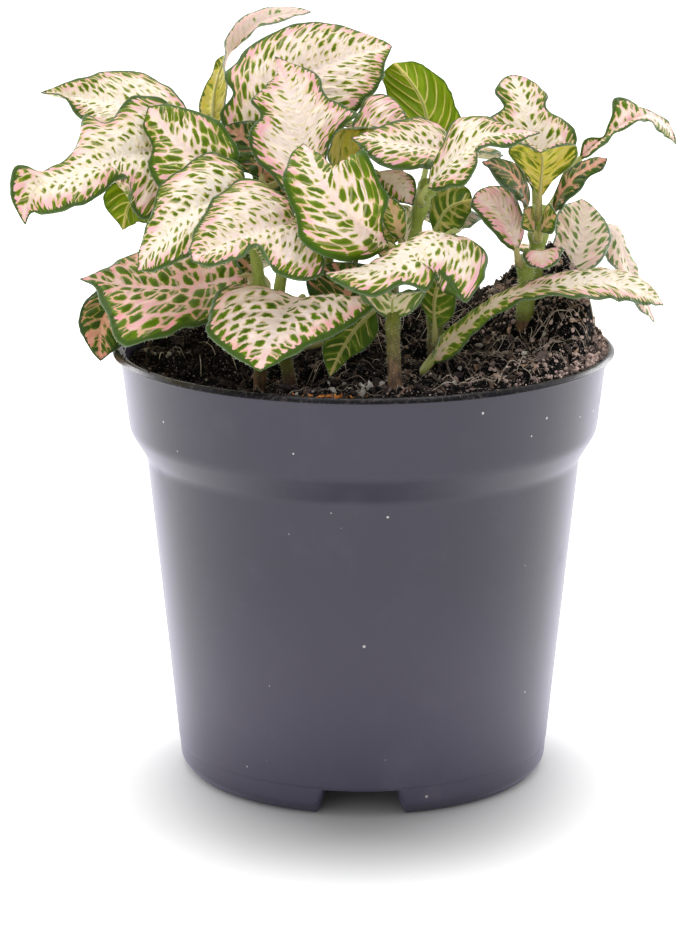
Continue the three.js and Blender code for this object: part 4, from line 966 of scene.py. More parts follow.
def pot_piece(material):
    """The pot: its profile turned about Z, with the foot ring's points held above the notches' outline,
    height * clip((bottom/2 - |x|) / ((bottom - top) / 2), 0, 1) at a distance x from a notch's middle."""
    p = POT
    foot, step, collar, rim = (p[part + "_radius"] for part in ("foot", "step", "collar", "rim"))
    lip = rim - p["lip"]
    neck = rim - p["rim_width"]
    outside = [
        (foot - p["foot_bead"], 0, 0.2),
        (foot, 0.5, 0.3),
        (foot + 1.8, 2.6, 1.0),
        (foot + 2.1, 6.9, 0.3),  # a faint line that the mould left
        (foot + 2.27, 7.3, 0.3),
        (step, p["step_low"], 1.3),
        (collar, p["step_high"], 1.6),
        (lip, p["rim_low"] - 0.1, 0.4),
        (rim, p["rim_low"] + 0.1, 0.25),
        (rim, p["height"] - 0.8, 0.4),
        (rim - 0.9, p["height"], 0.4),
    ]
    inside = [
        (neck + 1.4, p["height"], 0.3),
        (neck, p["height"] - 1.1, 0.5),
        (neck - 0.2, p["height"] - 6, 0.5),
        (collar - p["wall"], p["step_high"], 0.5),
        (step - p["wall"], p["step_low"], 0.5),
        (foot + 2.6 - p["wall"], p["floor_top"], 0.5),
        (0.02, p["floor_top"], 0.0),
    ]
    ring_inside = foot - p["foot_bead"] - p["foot_width"]
    under = [(0.02, p["floor_under"], 0.0), (ring_inside, p["floor_under"], 0.5), (ring_inside, 0, 0.2)]
    profile = eased(under + outside + inside)
    outer = len(eased(under + outside)) - 1
    corner = [side * NOTCH[edge] / 2 for edge in ("bottom", "top") for side in (-1, 1)]
    notch = np.arctan(np.array(corner) / foot)
    middles = np.radians(NOTCH["angles"])
    even = np.linspace(0, 2 * np.pi, POT_SIDES, endpoint=False)
    turns = np.concatenate([even, *(v + notch for v in middles)])
    turns = np.unique(np.round(turns % (2 * np.pi), 5))
    r, z = profile.T[:, :, None]
    nearest = np.min([np.abs((turns - v + np.pi) % (2 * np.pi) - np.pi) for v in middles], axis=0)
    off = np.tan(np.minimum(nearest, 1.2)) * foot
    slope = (NOTCH["bottom"] - NOTCH["top"]) / 2
    cut = NOTCH["height"] * np.clip((NOTCH["bottom"] / 2 - off) / slope, 0, 1)
    on_ring = (np.arange(len(profile)) < outer)[:, None] & (r > ring_inside - 1)
    z = np.where(on_ring, np.maximum(z, cut[None]), z + 0 * cut[None])
    rings = around(r, turns, z)
    shell = Shell()
    shell.add(rings, skin(rings))
    body = shell.piece("pot_wall", [material], ["pot"])
    drill(body, p["floor_top"])


def drill(body, floor):
    """Cuts the drain holes through the floor: one in the middle and a ring of them."""
    turns = 2 * np.pi * np.arange(DRAIN["count"]) / DRAIN["count"]
    middles = [(0, 0, DRAIN["centre_radius"])]
    at = DRAIN["ring_at"]
    middles += [(at * np.cos(v), at * np.sin(v), DRAIN["ring_radius"]) for v in turns]
    round_ = 2 * np.pi * np.arange(32) / 32
    shell = Shell()
    for x, y, radius in middles:
        disc = np.stack([x + radius * np.cos(round_), y + radius * np.sin(round_), 0 * round_], -1)
        rings = np.stack([disc + UP * (floor - 4), disc + UP * (floor + 2)])
        shell.add(rings, skin(rings))
    cutter = shell.piece("drain_cutter", [])
    cut = body.modifiers.new("drain_holes", "BOOLEAN")
    cut.object, cut.operation, cut.solver = cutter, "DIFFERENCE", "EXACT"
    made = body.evaluated_get(bpy.context.evaluated_depsgraph_get())
    mesh = bpy.data.meshes.new_from_object(made)
    body.modifiers.clear()
    body.data = mesh
    bpy.data.objects.remove(cutter)

# ---------------------------------------------------------------------------------------- materials
def colour(r, g, b):
    """A colour given as 0 to 255 screen values, as the linear numbers that a shader wants."""
    c = np.array([r, g, b]) / 255
    return (*np.where(c <= 0.04045, c / 12.92, ((c + 0.055) / 1.055) ** 2.4), 1.0)


class Tree:
    """Writes a node tree in short calls. A value given to an input is linked if it is a socket."""

    def __init__(self, tree):
        self.tree = tree

    def node(self, kind, inputs=None, **settings):
        made = self.tree.nodes.new(kind)
        for key, value in settings.items():
            setattr(made, key, value)
        self.fill(made, inputs or {})
        return made

    def fill(self, node, inputs):
        for key, value in inputs.items():
            self.feed(node.inputs[key], value)

    def feed(self, socket, value):
        if isinstance(value, bpy.types.NodeSocket):
            self.tree.links.new(value, socket)
        else:
            socket.default_value = value

    def maths(self, operation, *values):
        made = self.tree.nodes.new("ShaderNodeMath")
        made.operation = operation
        for socket, value in zip(made.inputs, values):
            self.feed(socket, value)
        return made.outputs[0]

    def times(self, a, b):
        return self.maths("MULTIPLY", a, b)

    def plus(self, a, b):
        return self.maths("ADD", a, b)

    def minus(self, a, b):
        return self.maths("SUBTRACT", a, b)

    def muladd(self, a, b, c):
        """a b + c"""
        return self.maths("MULTIPLY_ADD", a, b, c)

    def step(self, value, low, high, start=0.0, end=1.0):
        """A smooth step of the value from start at low to end at high."""
        inputs = {"Value": value, "From Min": low, "From Max": high, "To Min": start, "To Max": end}
        return self.node("ShaderNodeMapRange", inputs, interpolation_type="SMOOTHSTEP").outputs[0]

    def mix(self, share, a, b, blend="MIX"):
        made = self.node("ShaderNodeMix", data_type="RGBA", blend_type=blend)
        for index, value in ((0, share), (6, a), (7, b)):
            self.feed(made.inputs[index], value)
        return made.outputs[2]

    def combine(self, *values):
        return self.node("ShaderNodeCombineXYZ", dict(zip("XYZ", values))).outputs[0]

    def split(self, vector):
        return self.node("ShaderNodeSeparateXYZ", {"Vector": vector}).outputs

    def noise(self, vector, scale, detail=2.0, roughness=0.5, output="Fac"):
        inputs = {"Vector": vector, "Scale": scale, "Detail": detail, "Roughness": roughness}
        return self.node("ShaderNodeTexNoise", inputs).outputs[output]

    def attribute(self, name):
        return self.node("ShaderNodeAttribute", attribute_name=name).outputs["Vector"]

    def place(self):
        """Object coordinates, in metres."""
        return self.node("ShaderNodeTexCoord").outputs["Object"]

    def bump(self, height, distance, strength=1.0):
        inputs = {"Height": height, "Distance": distance, "Strength": strength}
        return self.node("ShaderNodeBump", inputs).outputs[0]


def put(name, data):
    """A new object of that data in the scene."""
    made = bpy.data.objects.new(name, data)
    bpy.context.collection.objects.link(made)
    return made


def group(name, inputs, outputs):
    """An empty node group with named sockets, its writer, and its input node's outputs by name."""
    tree = bpy.data.node_groups.new(name, "ShaderNodeTree")
    for direction, sockets in (("INPUT", inputs), ("OUTPUT", outputs)):
        for label, (kind, value) in sockets.items():
            socket = tree.interface.new_socket(label, in_out=direction, socket_type="NodeSocket" + kind)
            if value is not None:
                socket.default_value = value
    t = Tree(tree)
    given = {s.name: s for s in t.node("NodeGroupInput").outputs}
    return t, given, t.node("NodeGroupOutput").inputs


def nerve_net():
    """The leaf's pattern, shared by the faces of every leaf.

    Cells of a Voronoi pattern, drawn along the side veins, are flecks where the distance from the cells'
    borders is over the vein's width, which differs from cell to cell and grows towards the middle of the
    blade. Fine noise drawn out along the veins gives pale streaks. The margin is a band whose inner border
    has a tooth wherever a cell of a one-dimensional Voronoi pattern has its middle.
    """
    floats = {
        "Wide": 8.0, "Across": 1.8, "Along": 2.6, "Vein": 0.17, "Spread": 0.22, "Middle": 0.12,
        "Margin": 0.75, "Tooth": 1.0, "Streaks": 0.7, "Pink at edge": 1.0, "Lines": 0.35, "Bulge": 0.2,
        "Shaded foot": 0.0,
    }
    colours = {
        "Vein colour": (250, 240, 226), "Pink": (242, 176, 188), "Streak": (228, 216, 148),
        "Halo": (196, 182, 84), "Fleck": (112, 136, 16), "Deep fleck": (72, 98, 6),
        "Edge colour": (66, 90, 34), "Rim": (108, 124, 98),
    }
    inputs = {"Place": ("Vector", None), "Habit": ("Vector", None)}
    inputs |= {key: ("Float", value) for key, value in floats.items()}
    inputs |= {key: ("Color", colour(*value)) for key, value in colours.items()}
    outputs = {"Colour": ("Color", None), "Height": ("Float", None), "Green": ("Float", None)}
    t, v, out = group("nerve_net", inputs, outputs)
    along, across, margin = t.split(v["Place"])
    pink, green, seed = t.split(v["Habit"])
    far = t.maths("ABSOLUTE", across)
    margin = t.maths("DIVIDE", margin, t.step(v["Wide"], 1.5, 8.0, 0.3, 1.0))
    # a slow wander of the veins
    shift = {0: v["Place"], 1: t.combine(seed, seed, seed)}
    wander = t.node("ShaderNodeVectorMath", shift, operation="ADD").outputs[0]
    drift = t.split(t.noise(wander, 0.55, 2.0, output="Color"))
    a = t.muladd(drift[0], 1.5, along)
    b = t.muladd(drift[1], 2.0, across)
    cell_a = t.muladd(seed, 7.3, t.maths("DIVIDE", a, v["Across"]))
    cell_b = t.muladd(seed, 3.1, t.maths("DIVIDE", b, v["Along"]))
    cell = t.combine(cell_a, cell_b, 0.0)
    voronoi = {"Vector": cell, "Scale": 1.0, "Randomness": 0.8}
    border = t.node("ShaderNodeTexVoronoi", voronoi, voronoi_dimensions="2D", feature="DISTANCE_TO_EDGE")
    chosen = t.node("ShaderNodeTexVoronoi", voronoi, voronoi_dimensions="2D", feature="F1")
    chance = t.split(chosen.outputs["Color"])
    gap = border.outputs["Distance"]
    # the vein's half width in this cell: thin near the margin, wide at the rib and in the middle
    width = t.muladd(t.minus(chance[0], 0.5), v["Spread"], v["Vein"])
    width = t.muladd(t.minus(0.5, green), 0.3, width)
    width = t.plus(width, t.times(v["Middle"], t.step(margin, 2.0, 8.0)))
    by_rib = t.times(t.step(far, 0.2, 1.1, 0.4, 0.0), t.minus(1.0, v["Lines"]))
    width = t.plus(width, by_rib)
    width = t.times(width, t.step(margin, 1.0, 3.6, 0.7, 1.0))
    # the end at the stalk may be greener, and duller with painted shade
    foot = t.times(v["Shaded foot"], t.step(along, 12.0, 34.0, 1.0, 0.0))
    width = t.muladd(foot, -0.16, width)
    # side veins drawn as lines
    phase = t.maths("DIVIDE", t.muladd(drift[2], 0.8, along), BLADE["vein_pitch"])
    to_line = t.maths("ABSOLUTE", t.minus(t.maths("FRACT", t.plus(phase, 0.5)), 0.5))
    line = t.times(t.step(to_line, 0.05, 0.1, 1.0, 0.0), v["Lines"])
    line = t.times(line, t.step(margin, 0.6, 2.5))
    rib = t.times(t.step(far, 0.3, 0.6, 1.0, 0.0), t.maths("MINIMUM", 1.0, t.plus(v["Lines"], 0.6)))
    line = t.maths("MAXIMUM", line, rib)
    oval = t.minus(0.56, t.times(chosen.outputs["Distance"], 0.95))
    oval = t.plus(oval, t.step(v["Lines"], 0.7, 0.9, 0.0, 0.6))
    off = t.minus(t.maths("MINIMUM", gap, oval), width)
    fleck = t.times(t.step(off, 0.0, 0.045), t.minus(1.0, line))
    halo = t.times(t.step(off, -0.12, -0.01), t.minus(1.0, line))
    deep = t.step(off, 0.06, 0.24)
    # fine streaks along the veins
    hair = t.combine(t.times(a, 2.4), t.times(b, 0.38), seed)
    streak = t.step(t.noise(hair, 1.0, 3.0, 0.6), 0.5, 0.68)
    faint = t.step(t.noise(hair, 0.45, 2.0), 0.35, 0.65)
    # the colours, from the veins up
    near_edge = t.step(margin, 1.0, 5.0, 1.0, 0.0)
    rosy = t.muladd(near_edge, v["Pink at edge"], pink)
    rosy = t.times(rosy, t.step(t.noise(wander, 0.3, 2.0), 0.3, 0.7, 0.55, 1.15))
    base = t.mix(t.maths("MINIMUM", rosy, 1.0), v["Vein colour"], v["Pink"])
    lit = t.times(t.times(streak, v["Streaks"]), t.minus(1.0, t.times(near_edge, 0.6)))
    base = t.mix(lit, base, v["Streak"])
    base = t.mix(t.times(faint, 0.18), base, colour(214, 190, 172))
    # painted shade: a duller colour at the leaf's foot
    base = t.mix(t.times(foot, 0.6), base, colour(170, 146, 98))
    tint = t.mix(t.times(halo, 0.75), base, v["Halo"])
    dark = t.mix(t.times(deep, t.step(chance[1], 0.0, 1.0, 0.5, 1.0)), v["Fleck"], v["Deep fleck"])
    tint = t.mix(fleck, tint, dark)
    # the margin and its teeth
    comb = t.plus(t.maths("DIVIDE", a, 1.15), t.times(t.maths("SIGN", across), 31.7))
    row = {"W": comb, "Scale": 1.0, "Randomness": 0.9}
    spike = t.node("ShaderNodeTexVoronoi", row, voronoi_dimensions="1D")
    size = t.split(spike.outputs["Color"])
    tooth = t.maths("MAXIMUM", 0.0, t.muladd(spike.outputs["Distance"], -2.3, 1.0))
    tooth = t.times(t.maths("POWER", tooth, 1.2), t.muladd(size[0], 0.9, 0.35))
    inner = t.muladd(tooth, v["Tooth"], v["Margin"])
    past = t.minus(margin, inner)
    band = t.step(past, -0.16, 0.1, 1.0, 0.0)
    shade = t.mix(t.step(margin, 0.5, 2.4), v["Edge colour"], v["Fleck"])
    shade = t.mix(t.step(t.noise(hair, 0.6, 2.0), 0.3, 0.7, 0.0, 0.35), shade, v["Deep fleck"])
    tint = t.mix(band, tint, shade)
    tint = t.mix(t.step(margin, 0.08, 0.3, 0.6, 0.0), tint, v["Rim"])
    for socket, value in (("Colour", tint), ("Green", t.maths("MAXIMUM", fleck, band))):
        t.feed(out[socket], value)
    relief = t.times(t.step(gap, 0.02, 0.5), v["Bulge"])
    t.feed(out["Height"], t.plus(relief, t.times(t.noise(hair, 0.8, 3.0), 0.2)))
    return t.tree


SPECK = {"size": 0.13, "share": 0.1}


def dusting():
    """Specks, smudges and fine scratches for the pot, as masks on Object coordinates."""
    inputs = {"Place": ("Vector", None)}
    outputs = {"Specks": ("Float", None), "Smudges": ("Float", None), "Scratches": ("Float", None)}
    t, v, out = group("dusting", inputs, outputs)
    dots = t.node("ShaderNodeTexVoronoi", {"Vector": v["Place"], "Scale": 330.0})
    pick = t.split(dots.outputs["Color"])
    small = t.maths("LESS_THAN", dots.outputs["Distance"], t.times(pick[0], SPECK["size"]))
    t.feed(out["Specks"], t.times(small, t.maths("LESS_THAN", pick[1], SPECK["share"])))
    t.feed(out["Smudges"], t.step(t.noise(v["Place"], 60.0, 5.0, 0.62), 0.5, 0.75))
    drawn_out = {"Vector": v["Place"], "Rotation": (0.5, 0.9, 0.4), "Scale": (60, 1600, 60)}
    lean = t.node("ShaderNodeMapping", drawn_out)
    lines = t.step(t.noise(lean.outputs[0], 1.0, 2.0), 0.74, 0.8)
    t.feed(out["Scratches"], t.times(lines, t.step(t.noise(v["Place"], 25.0, 2.0), 0.5, 0.65)))
    return t.tree


def material(name):
    """A new material, its writer and its Principled shader."""
    made = bpy.data.materials.new(name)
    made.use_nodes = True
    return made, Tree(made.node_tree), made.node_tree.nodes["Principled BSDF"]


LEAF_FACES = {
    # face: values of the net that differ from its own
    "leaf_cream": {},
    "leaf_fine": {"Across": 1.45, "Along": 3.0, "Vein": 0.2, "Middle": 0.2, "Streaks": 0.8, "Tooth": 1.2},
    "leaf_spotted": {
        "Across": 2.3, "Along": 2.9, "Vein": 0.1, "Spread": 0.26, "Middle": 0.1, "Margin": 1.2, "Tooth": 1.1,
        "Streaks": 0.5, "Edge colour": (58, 90, 16),
    },
    "leaf_net": {
        "Across": 2.2, "Along": 3.3, "Vein": 0.13, "Spread": 0.12, "Middle": 0.02, "Margin": 1.1,
        "Tooth": 1.0, "Streaks": 0.2, "Lines": 0.6, "Vein colour": (255, 238, 228), "Pink": (252, 184, 188),
        "Fleck": (106, 136, 20), "Deep fleck": (66, 96, 6), "Halo": (214, 186, 128),
    },
    "leaf_long": {"Shaded foot": 1.0},
    # a darker net for leaves deep among the others: partly their own colour, partly painted shade
    "leaf_dark_and_shaded": {
        "Across": 2.2, "Along": 3.2, "Vein": 0.12, "Spread": 0.12, "Middle": 0.0, "Streaks": 0.3,
        "Lines": 0.6, "Vein colour": (206, 156, 124), "Pink": (200, 126, 114), "Fleck": (70, 98, 18),
        "Deep fleck": (44, 64, 20), "Halo": (150, 130, 76), "Edge colour": (48, 70, 34),
    },
    "leaf_young": {
        "Across": 2.0, "Along": 3.4, "Vein": 0.1, "Spread": 0.1, "Middle": 0.0, "Streaks": 0.3, "Lines": 0.7,
        "Vein colour": (222, 190, 140), "Pink": (216, 160, 130), "Fleck": (112, 138, 34),
        "Deep fleck": (82, 112, 24), "Halo": (180, 178, 76), "Edge colour": (68, 98, 34),
    },
    "leaf_white": {
        "Across": 2.0, "Along": 3.2, "Vein": 0.2, "Spread": 0.2, "Middle": 0.05, "Streaks": 0.3,
        "Margin": 0.5, "Tooth": 0.8, "Vein colour": (232, 216, 204), "Pink": (234, 200, 192),
        "Fleck": (120, 140, 76), "Deep fleck": (84, 112, 60), "Halo": (200, 198, 146),
        "Edge colour": (110, 132, 100), "Rim": (196, 194, 196),
    },
    "under_olive": {
        "Across": 1.6, "Along": 4.4, "Vein": 0.2, "Spread": 0.3, "Middle": 0.1, "Margin": 0.4, "Tooth": 0.6,
        "Streaks": 0.8, "Lines": 0.3, "Vein colour": (200, 194, 64), "Pink": (200, 176, 76),
        "Streak": (172, 172, 38), "Halo": (162, 166, 38), "Fleck": (120, 134, 22),
        "Deep fleck": (90, 106, 20), "Edge colour": (82, 104, 36), "Rim": (150, 156, 104),
        "Bulge": -0.2, "Pink at edge": 0.3,
    },
    "under_green": {
        "Across": 3.6, "Along": 7.0, "Vein": 0.035, "Spread": 0.03, "Middle": 0.0, "Margin": 0.5,
        "Tooth": 0.2, "Streaks": 0.1, "Lines": 0.9, "Vein colour": (206, 196, 112), "Pink": (212, 176, 116),
        "Halo": (126, 142, 36), "Fleck": (92, 120, 18), "Deep fleck": (62, 92, 12),
        "Edge colour": (64, 92, 26), "Rim": (120, 140, 84), "Bulge": -0.25, "Pink at edge": 0.3,
    },
    "under_lime": {
        "Across": 4.6, "Along": 8.0, "Vein": 0.02, "Spread": 0.02, "Middle": 0.0, "Margin": 0.4, "Tooth": 0.2,
        "Streaks": 0.1, "Lines": 0.9, "Vein colour": (226, 212, 120), "Pink": (222, 186, 126),
        "Halo": (170, 176, 40), "Fleck": (142, 164, 20), "Deep fleck": (110, 140, 8),
        "Edge colour": (70, 100, 20), "Rim": (110, 130, 60), "Bulge": -0.25, "Pink at edge": 0.2,
    },
    "under_pale": {
        "Across": 1.9, "Along": 3.8, "Vein": 0.2, "Spread": 0.26, "Middle": 0.06, "Margin": 0.7, "Tooth": 0.9,
        "Streaks": 0.5, "Lines": 0.4, "Vein colour": (216, 210, 170), "Pink": (226, 194, 174),
        "Streak": (198, 198, 124), "Halo": (170, 178, 92), "Fleck": (118, 138, 58),
        "Deep fleck": (90, 116, 44), "Edge colour": (88, 114, 66), "Rim": (150, 160, 130),
        "Bulge": -0.2,
    },
}
LEAF_FACES["leaf_rose"] = LEAF_FACES["leaf_net"] | {
    "Across": 2.7, "Along": 4.4, "Vein": 0.1, "Spread": 0.08, "Pink": (255, 172, 184), "Tooth": 1.3,
}

KINDS = {
    # looks: top face, underside, how pink, how large the green flecks are, and the side veins' lean,
    # where a side vein runs forward by lean * distance^power
    "ghost": ("leaf_white", "under_olive", 0.35, 0.1, 0.45),
    "cream": ("leaf_cream", "under_pale", 0.06, 0.5, 0.45),
    "blush": ("leaf_cream", "under_pale", 0.22, 0.55, 0.45),
    "pale": ("leaf_fine", "under_olive", 0.2, 0.35, 0.45),
    "long": ("leaf_long", "under_pale", 0.1, 0.5, 0.45),
    "spotted": ("leaf_spotted", "under_pale", 0.32, 0.62, 0.45),
    "net": ("leaf_net", "under_green", 0.12, 0.42, 0.25),
    "rose_net": ("leaf_rose", "under_olive", 0.65, 0.6, 0.2),
    # leaves deep among the others, darker partly by their own colour and partly by painted shade
    "dusk": ("leaf_dark_and_shaded", "under_green", 0.4, 0.9, 0.45),
    "young": ("leaf_young", "under_green", 0.3, 0.6, 0.45),
    "lime_back": ("leaf_cream", "under_lime", 0.0, 0.9, 0.95),
    "dark_back": ("leaf_cream", "under_green", 0.2, 0.6, 0.45),
    "olive_back": ("leaf_cream", "under_olive", 0.4, 0.4, 0.45),
    "white": ("leaf_white", "leaf_white", 0.3, 0.4, 0.45),
    "bract": ("under_pale", "under_pale", 0.05, 0.6, 0.45),
    "petal": ("leaf_fine", "under_pale", 0.5, 0.05, 0.45),
}


def leaf_face(name, changes, net):
    """A leaf's top or underside: the shared net, a soft shine and a little light through the blade."""
    made, t, shader = material(name)
    pattern = t.node("ShaderNodeGroup", node_tree=net)
    given = {"Place": t.attribute("place"), "Habit": t.attribute("habit")}
    given["Wide"] = t.split(t.attribute("grown"))[0]
    tinted = {key: colour(*value) if isinstance(value, tuple) else value for key, value in changes.items()}
    t.fill(pattern, given | tinted)
    t.fill(shader, {
        "Base Color": pattern.outputs["Colour"],
        "Roughness": t.step(pattern.outputs["Green"], 0, 1, 0.5, 0.4),
        "Normal": t.bump(pattern.outputs["Height"], MM),
    })
    t.fill(shader, {
        "Specular IOR Level": 0.14, "Subsurface Weight": 0.22, "Subsurface Radius": (0.9, 1.0, 0.45),
        "Subsurface Scale": 0.6 * MM,
    })
    return made


# heights over which the bark turns from brown to green, and from green to lime
BARK = {"brown": (5, 12), "lime": (14, 34)}


def stem_face():
    """Bark, brown at the foot, green above it and lime on top, by the height above the soil in "grown"."""
    made, t, shader = material("stem")
    p = t.place()
    height = t.split(t.attribute("grown"))[0]
    high = t.muladd(t.noise(p, 260.0, 3.0), 6.0, height)
    streaky = t.node("ShaderNodeMapping", {"Vector": p, "Scale": (900, 900, 160)}).outputs[0]
    green = t.mix(t.noise(streaky, 1.0, 3.0), colour(74, 82, 12), colour(120, 126, 40))
    lime = t.mix(t.noise(streaky, 1.0, 3.0), colour(112, 130, 30), colour(172, 186, 88))
    green = t.mix(t.step(high, *BARK["lime"]), green, lime)
    brown = t.mix(t.step(t.noise(streaky, 1.3, 3.0), 0.4, 0.65), colour(70, 50, 30), colour(122, 92, 62))
    t.fill(shader, {
        "Base Color": t.mix(t.step(high, *BARK["brown"]), brown, green),
        "Normal": t.bump(t.noise(p, 1100.0, 4.0), 0.35 * MM),
        "Roughness": 0.6,
    })
    return made


def stalk_face():
    """A leaf's stalk: pale green, pinker in the leaves with more pink, browner where it joins the stem."""
    made, t, shader = material("stalk")
    p = t.place()
    share = t.split(t.attribute("grown"))[1]
    pink = t.split(t.attribute("habit"))[0]
    green = t.mix(t.noise(p, 500.0, 3.0), colour(132, 148, 58), colour(178, 182, 104))
    rosy = t.mix(t.times(pink, 0.6), green, colour(214, 160, 140))
    t.fill(shader, {
        "Base Color": t.mix(t.step(share, 0.0, 0.4, 0.55, 0.0), rosy, colour(110, 104, 44)),
        "Normal": t.bump(t.noise(p, 1300.0, 3.0), 0.2 * MM),
        "Roughness": 0.55,
    })
    return made


def grain_face(name, low, high, roughness, bump, speck=None):
    """Earth, chips or grains: two colours mixed by each grain's tone and by noise, with fine relief."""
    made, t, shader = material(name)
    p = t.place()
    tone = t.split(t.attribute("grown"))[0]
    share = t.plus(t.times(tone, 0.7), t.times(t.noise(p, 900.0, 4.0, 0.65), 0.5))
    tint = t.mix(t.maths("POWER", share, 2.2), low, high)
    if speck:
        tint = t.mix(t.step(t.noise(p, 2200.0, 2.0), 0.62, 0.72), tint, speck)
    t.fill(shader, {
        "Base Color": tint,
        "Normal": t.bump(t.noise(p, 1500.0, 4.0, 0.65), bump * MM),
        "Specular IOR Level": 0.1,
        "Roughness": roughness,
    })
    return made


def pot_face():
    """Dark purple-grey plastic, painted paler below as painted light, with a painted lilac sheen where it is
    seen edge on, and darker on its lip, which shines at the sides and is dull in front; with dust specks,
    smudges and scratches."""
    made, t, shader = material("pot")
    p = t.place()
    marks = t.node("ShaderNodeGroup", {"Place": p}, node_tree=dusting())
    specks, smudges, scratches = marks.outputs
    z = t.split(p)[2]
    low = t.step(z, 0.0, 0.02, 1.0, 0.0)
    lip = t.step(z, (POT["rim_low"] - 0.2) * MM, POT["rim_low"] * MM)
    grey = t.mix(t.noise(p, 35.0, 3.0), colour(28, 26, 38), colour(35, 33, 47))
    # painted light: the wall is painted paler towards the bottom, standing in for light from the floor
    grey = t.mix(t.step(z, 0.0, 0.065, 0.85, 0.0), grey, colour(70, 67, 84))
    # painted sheen: a paler lilac base colour where the wall is seen edge on
    facing = t.node("ShaderNodeLayerWeight", {"Blend": 0.5}).outputs["Facing"]
    grey = t.mix(t.step(facing, 0.55, 1.0, 0.0, 0.7), grey, colour(114, 108, 144))
    grey = t.mix(t.times(smudges, t.muladd(low, 0.05, 0.05)), grey, colour(128, 124, 134))
    grey = t.mix(t.times(scratches, 0.25), grey, colour(150, 148, 156))
    dirt = t.step(t.noise(p, 900.0, 4.0, 0.6), 0.5, 0.7)
    grey = t.mix(lip, grey, t.mix(dirt, colour(14, 13, 16), colour(60, 54, 52)))
    grey = t.mix(t.times(specks, 0.8), grey, colour(196, 192, 188))
    t.feed(shader.inputs["Base Color"], grey)
    rough = t.minus(t.step(smudges, 0, 1, 0.33, 0.4), t.times(lip, 0.1))
    aside = t.maths("ABSOLUTE", t.split(p)[0])
    shine = t.minus(t.step(aside, 0.028, 0.055, 0.12, 0.65), 0.5)
    t.fill(shader, {
        "Specular IOR Level": t.muladd(lip, shine, 0.5),
        "Roughness": rough,
        "Normal": t.bump(t.noise(p, 2600.0, 2.0), 0.03 * MM),
        "IOR": 1.56,
        "Specular Tint": (0.93, 0.9, 1.0, 1.0),
    })
    return made


def plain(name, tint, roughness):
    made, t, shader = material(name)
    t.fill(shader, {
        "Base Color": tint,
        "Roughness": roughness,
    })
    return made


# the oval round the pot's foot outside which the floor glows with painted light
GLOW = {"from": 0.05, "to": 0.13, "forward": 0.018, "narrow": 1.45, "strength": 0.6}


def floor_face():
    """White card, which gives some painted light of its own outside an oval round the pot's foot and is
    painted grey near the foot, a painted shadow.
    """
    made, t, shader = material("floor")
    x, y, _ = t.split(t.place())
    x = t.times(x, GLOW["narrow"])
    y = t.plus(y, GLOW["forward"])
    away = t.maths("SQRT", t.plus(t.times(x, x), t.times(y, y)))
    # painted light: the floor glows outside the oval
    t.fill(shader, {
        "Emission Strength": t.step(away, GLOW["from"], GLOW["to"], 0.0, GLOW["strength"]),
        "Emission Color": (1, 1, 1, 1),
    })
    # painted shadow: the floor's own colour is grey near the pot's foot
    card = t.mix(t.step(away, 0.02, 0.08), colour(186, 186, 186), colour(250, 250, 250))
    t.fill(shader, {
        "Base Color": card,
        "Roughness": 0.8,
    })
    return made


net = nerve_net()
MATERIALS = {name: leaf_face(name, changes, net) for name, changes in LEAF_FACES.items()}
MATERIALS |= {
    "stem": stem_face(),
    "stalk": stalk_face(),
    "pot": pot_face(),
    "soil": grain_face("soil", colour(3, 3, 4), colour(40, 33, 34), 0.95, 0.8, colour(168, 158, 148)),
    "crumb": grain_face("crumb", colour(5, 4, 5), colour(214, 188, 178), 0.95, 0.5),
    "perlite": grain_face("perlite", colour(150, 146, 138), colour(226, 222, 212), 0.9, 0.4),
    "bark": grain_face("bark", colour(24, 17, 17), colour(190, 156, 132), 0.85, 0.6),
    "chip": grain_face("chip", colour(120, 70, 30), colour(226, 156, 92), 0.8, 0.4),
    "fibre": grain_face("fibre", colour(116, 98, 84), colour(240, 226, 208), 0.9, 0.2),
    "hair": plain("hair", colour(226, 230, 214), 0.5),
}


def fuzz(rng, path, radii, count, low, high):
    """Hairs on a tube: their roots evenly along and round it, and their directions, out and a little up."""
    along = reached(path)
    s = rng.uniform(0, along[-1], count)
    at = np.stack([np.interp(s, along, path[:, k]) for k in range(3)], -1)
    ahead = np.stack([np.interp(s + 0.5, along, path[:, k]) for k in range(3)], -1)
    axis = unit(ahead - at + 1e-6)
    out = rng.normal(0, 1, (count, 3))
    out = unit(out - axis * (out * axis).sum(1, keepdims=True))
    roots = at + out * (0.9 * np.interp(s, along, radii))[:, None]
    return roots, out + 0.25 * axis, rng.uniform(low, high, count)


def fringe(rng, middle, normal, count, low, high):
    """Hairs on a blade's edges: roots along both, and directions out of the blade's surface sideways."""
    u = rng.uniform(1, BLADE["rows"] - 2, 2 * count)
    i, t = u.astype(int), (u % 1)[:, None]
    side = np.repeat([0, BLADE["columns"] - 1], count)
    inner = np.repeat([1, BLADE["columns"] - 2], count)
    edge = middle[i, side] * (1 - t) + middle[i + 1, side] * t
    out = unit(edge - (middle[i, inner] * (1 - t) + middle[i + 1, inner] * t))
    out = out + 0.35 * rng.normal(0, 1, (2 * count, 3)) * normal[i, side]
    return edge, out, rng.uniform(low, high, 2 * count)


def hair_piece(name, tufts, radius):
    roots, ways, lengths = (np.concatenate(part) for part in zip(*tufts))
    shell = Shell()
    shell.add(*hairs(roots, ways, lengths, radius))
    shell.piece(name, [MATERIALS["hair"]])


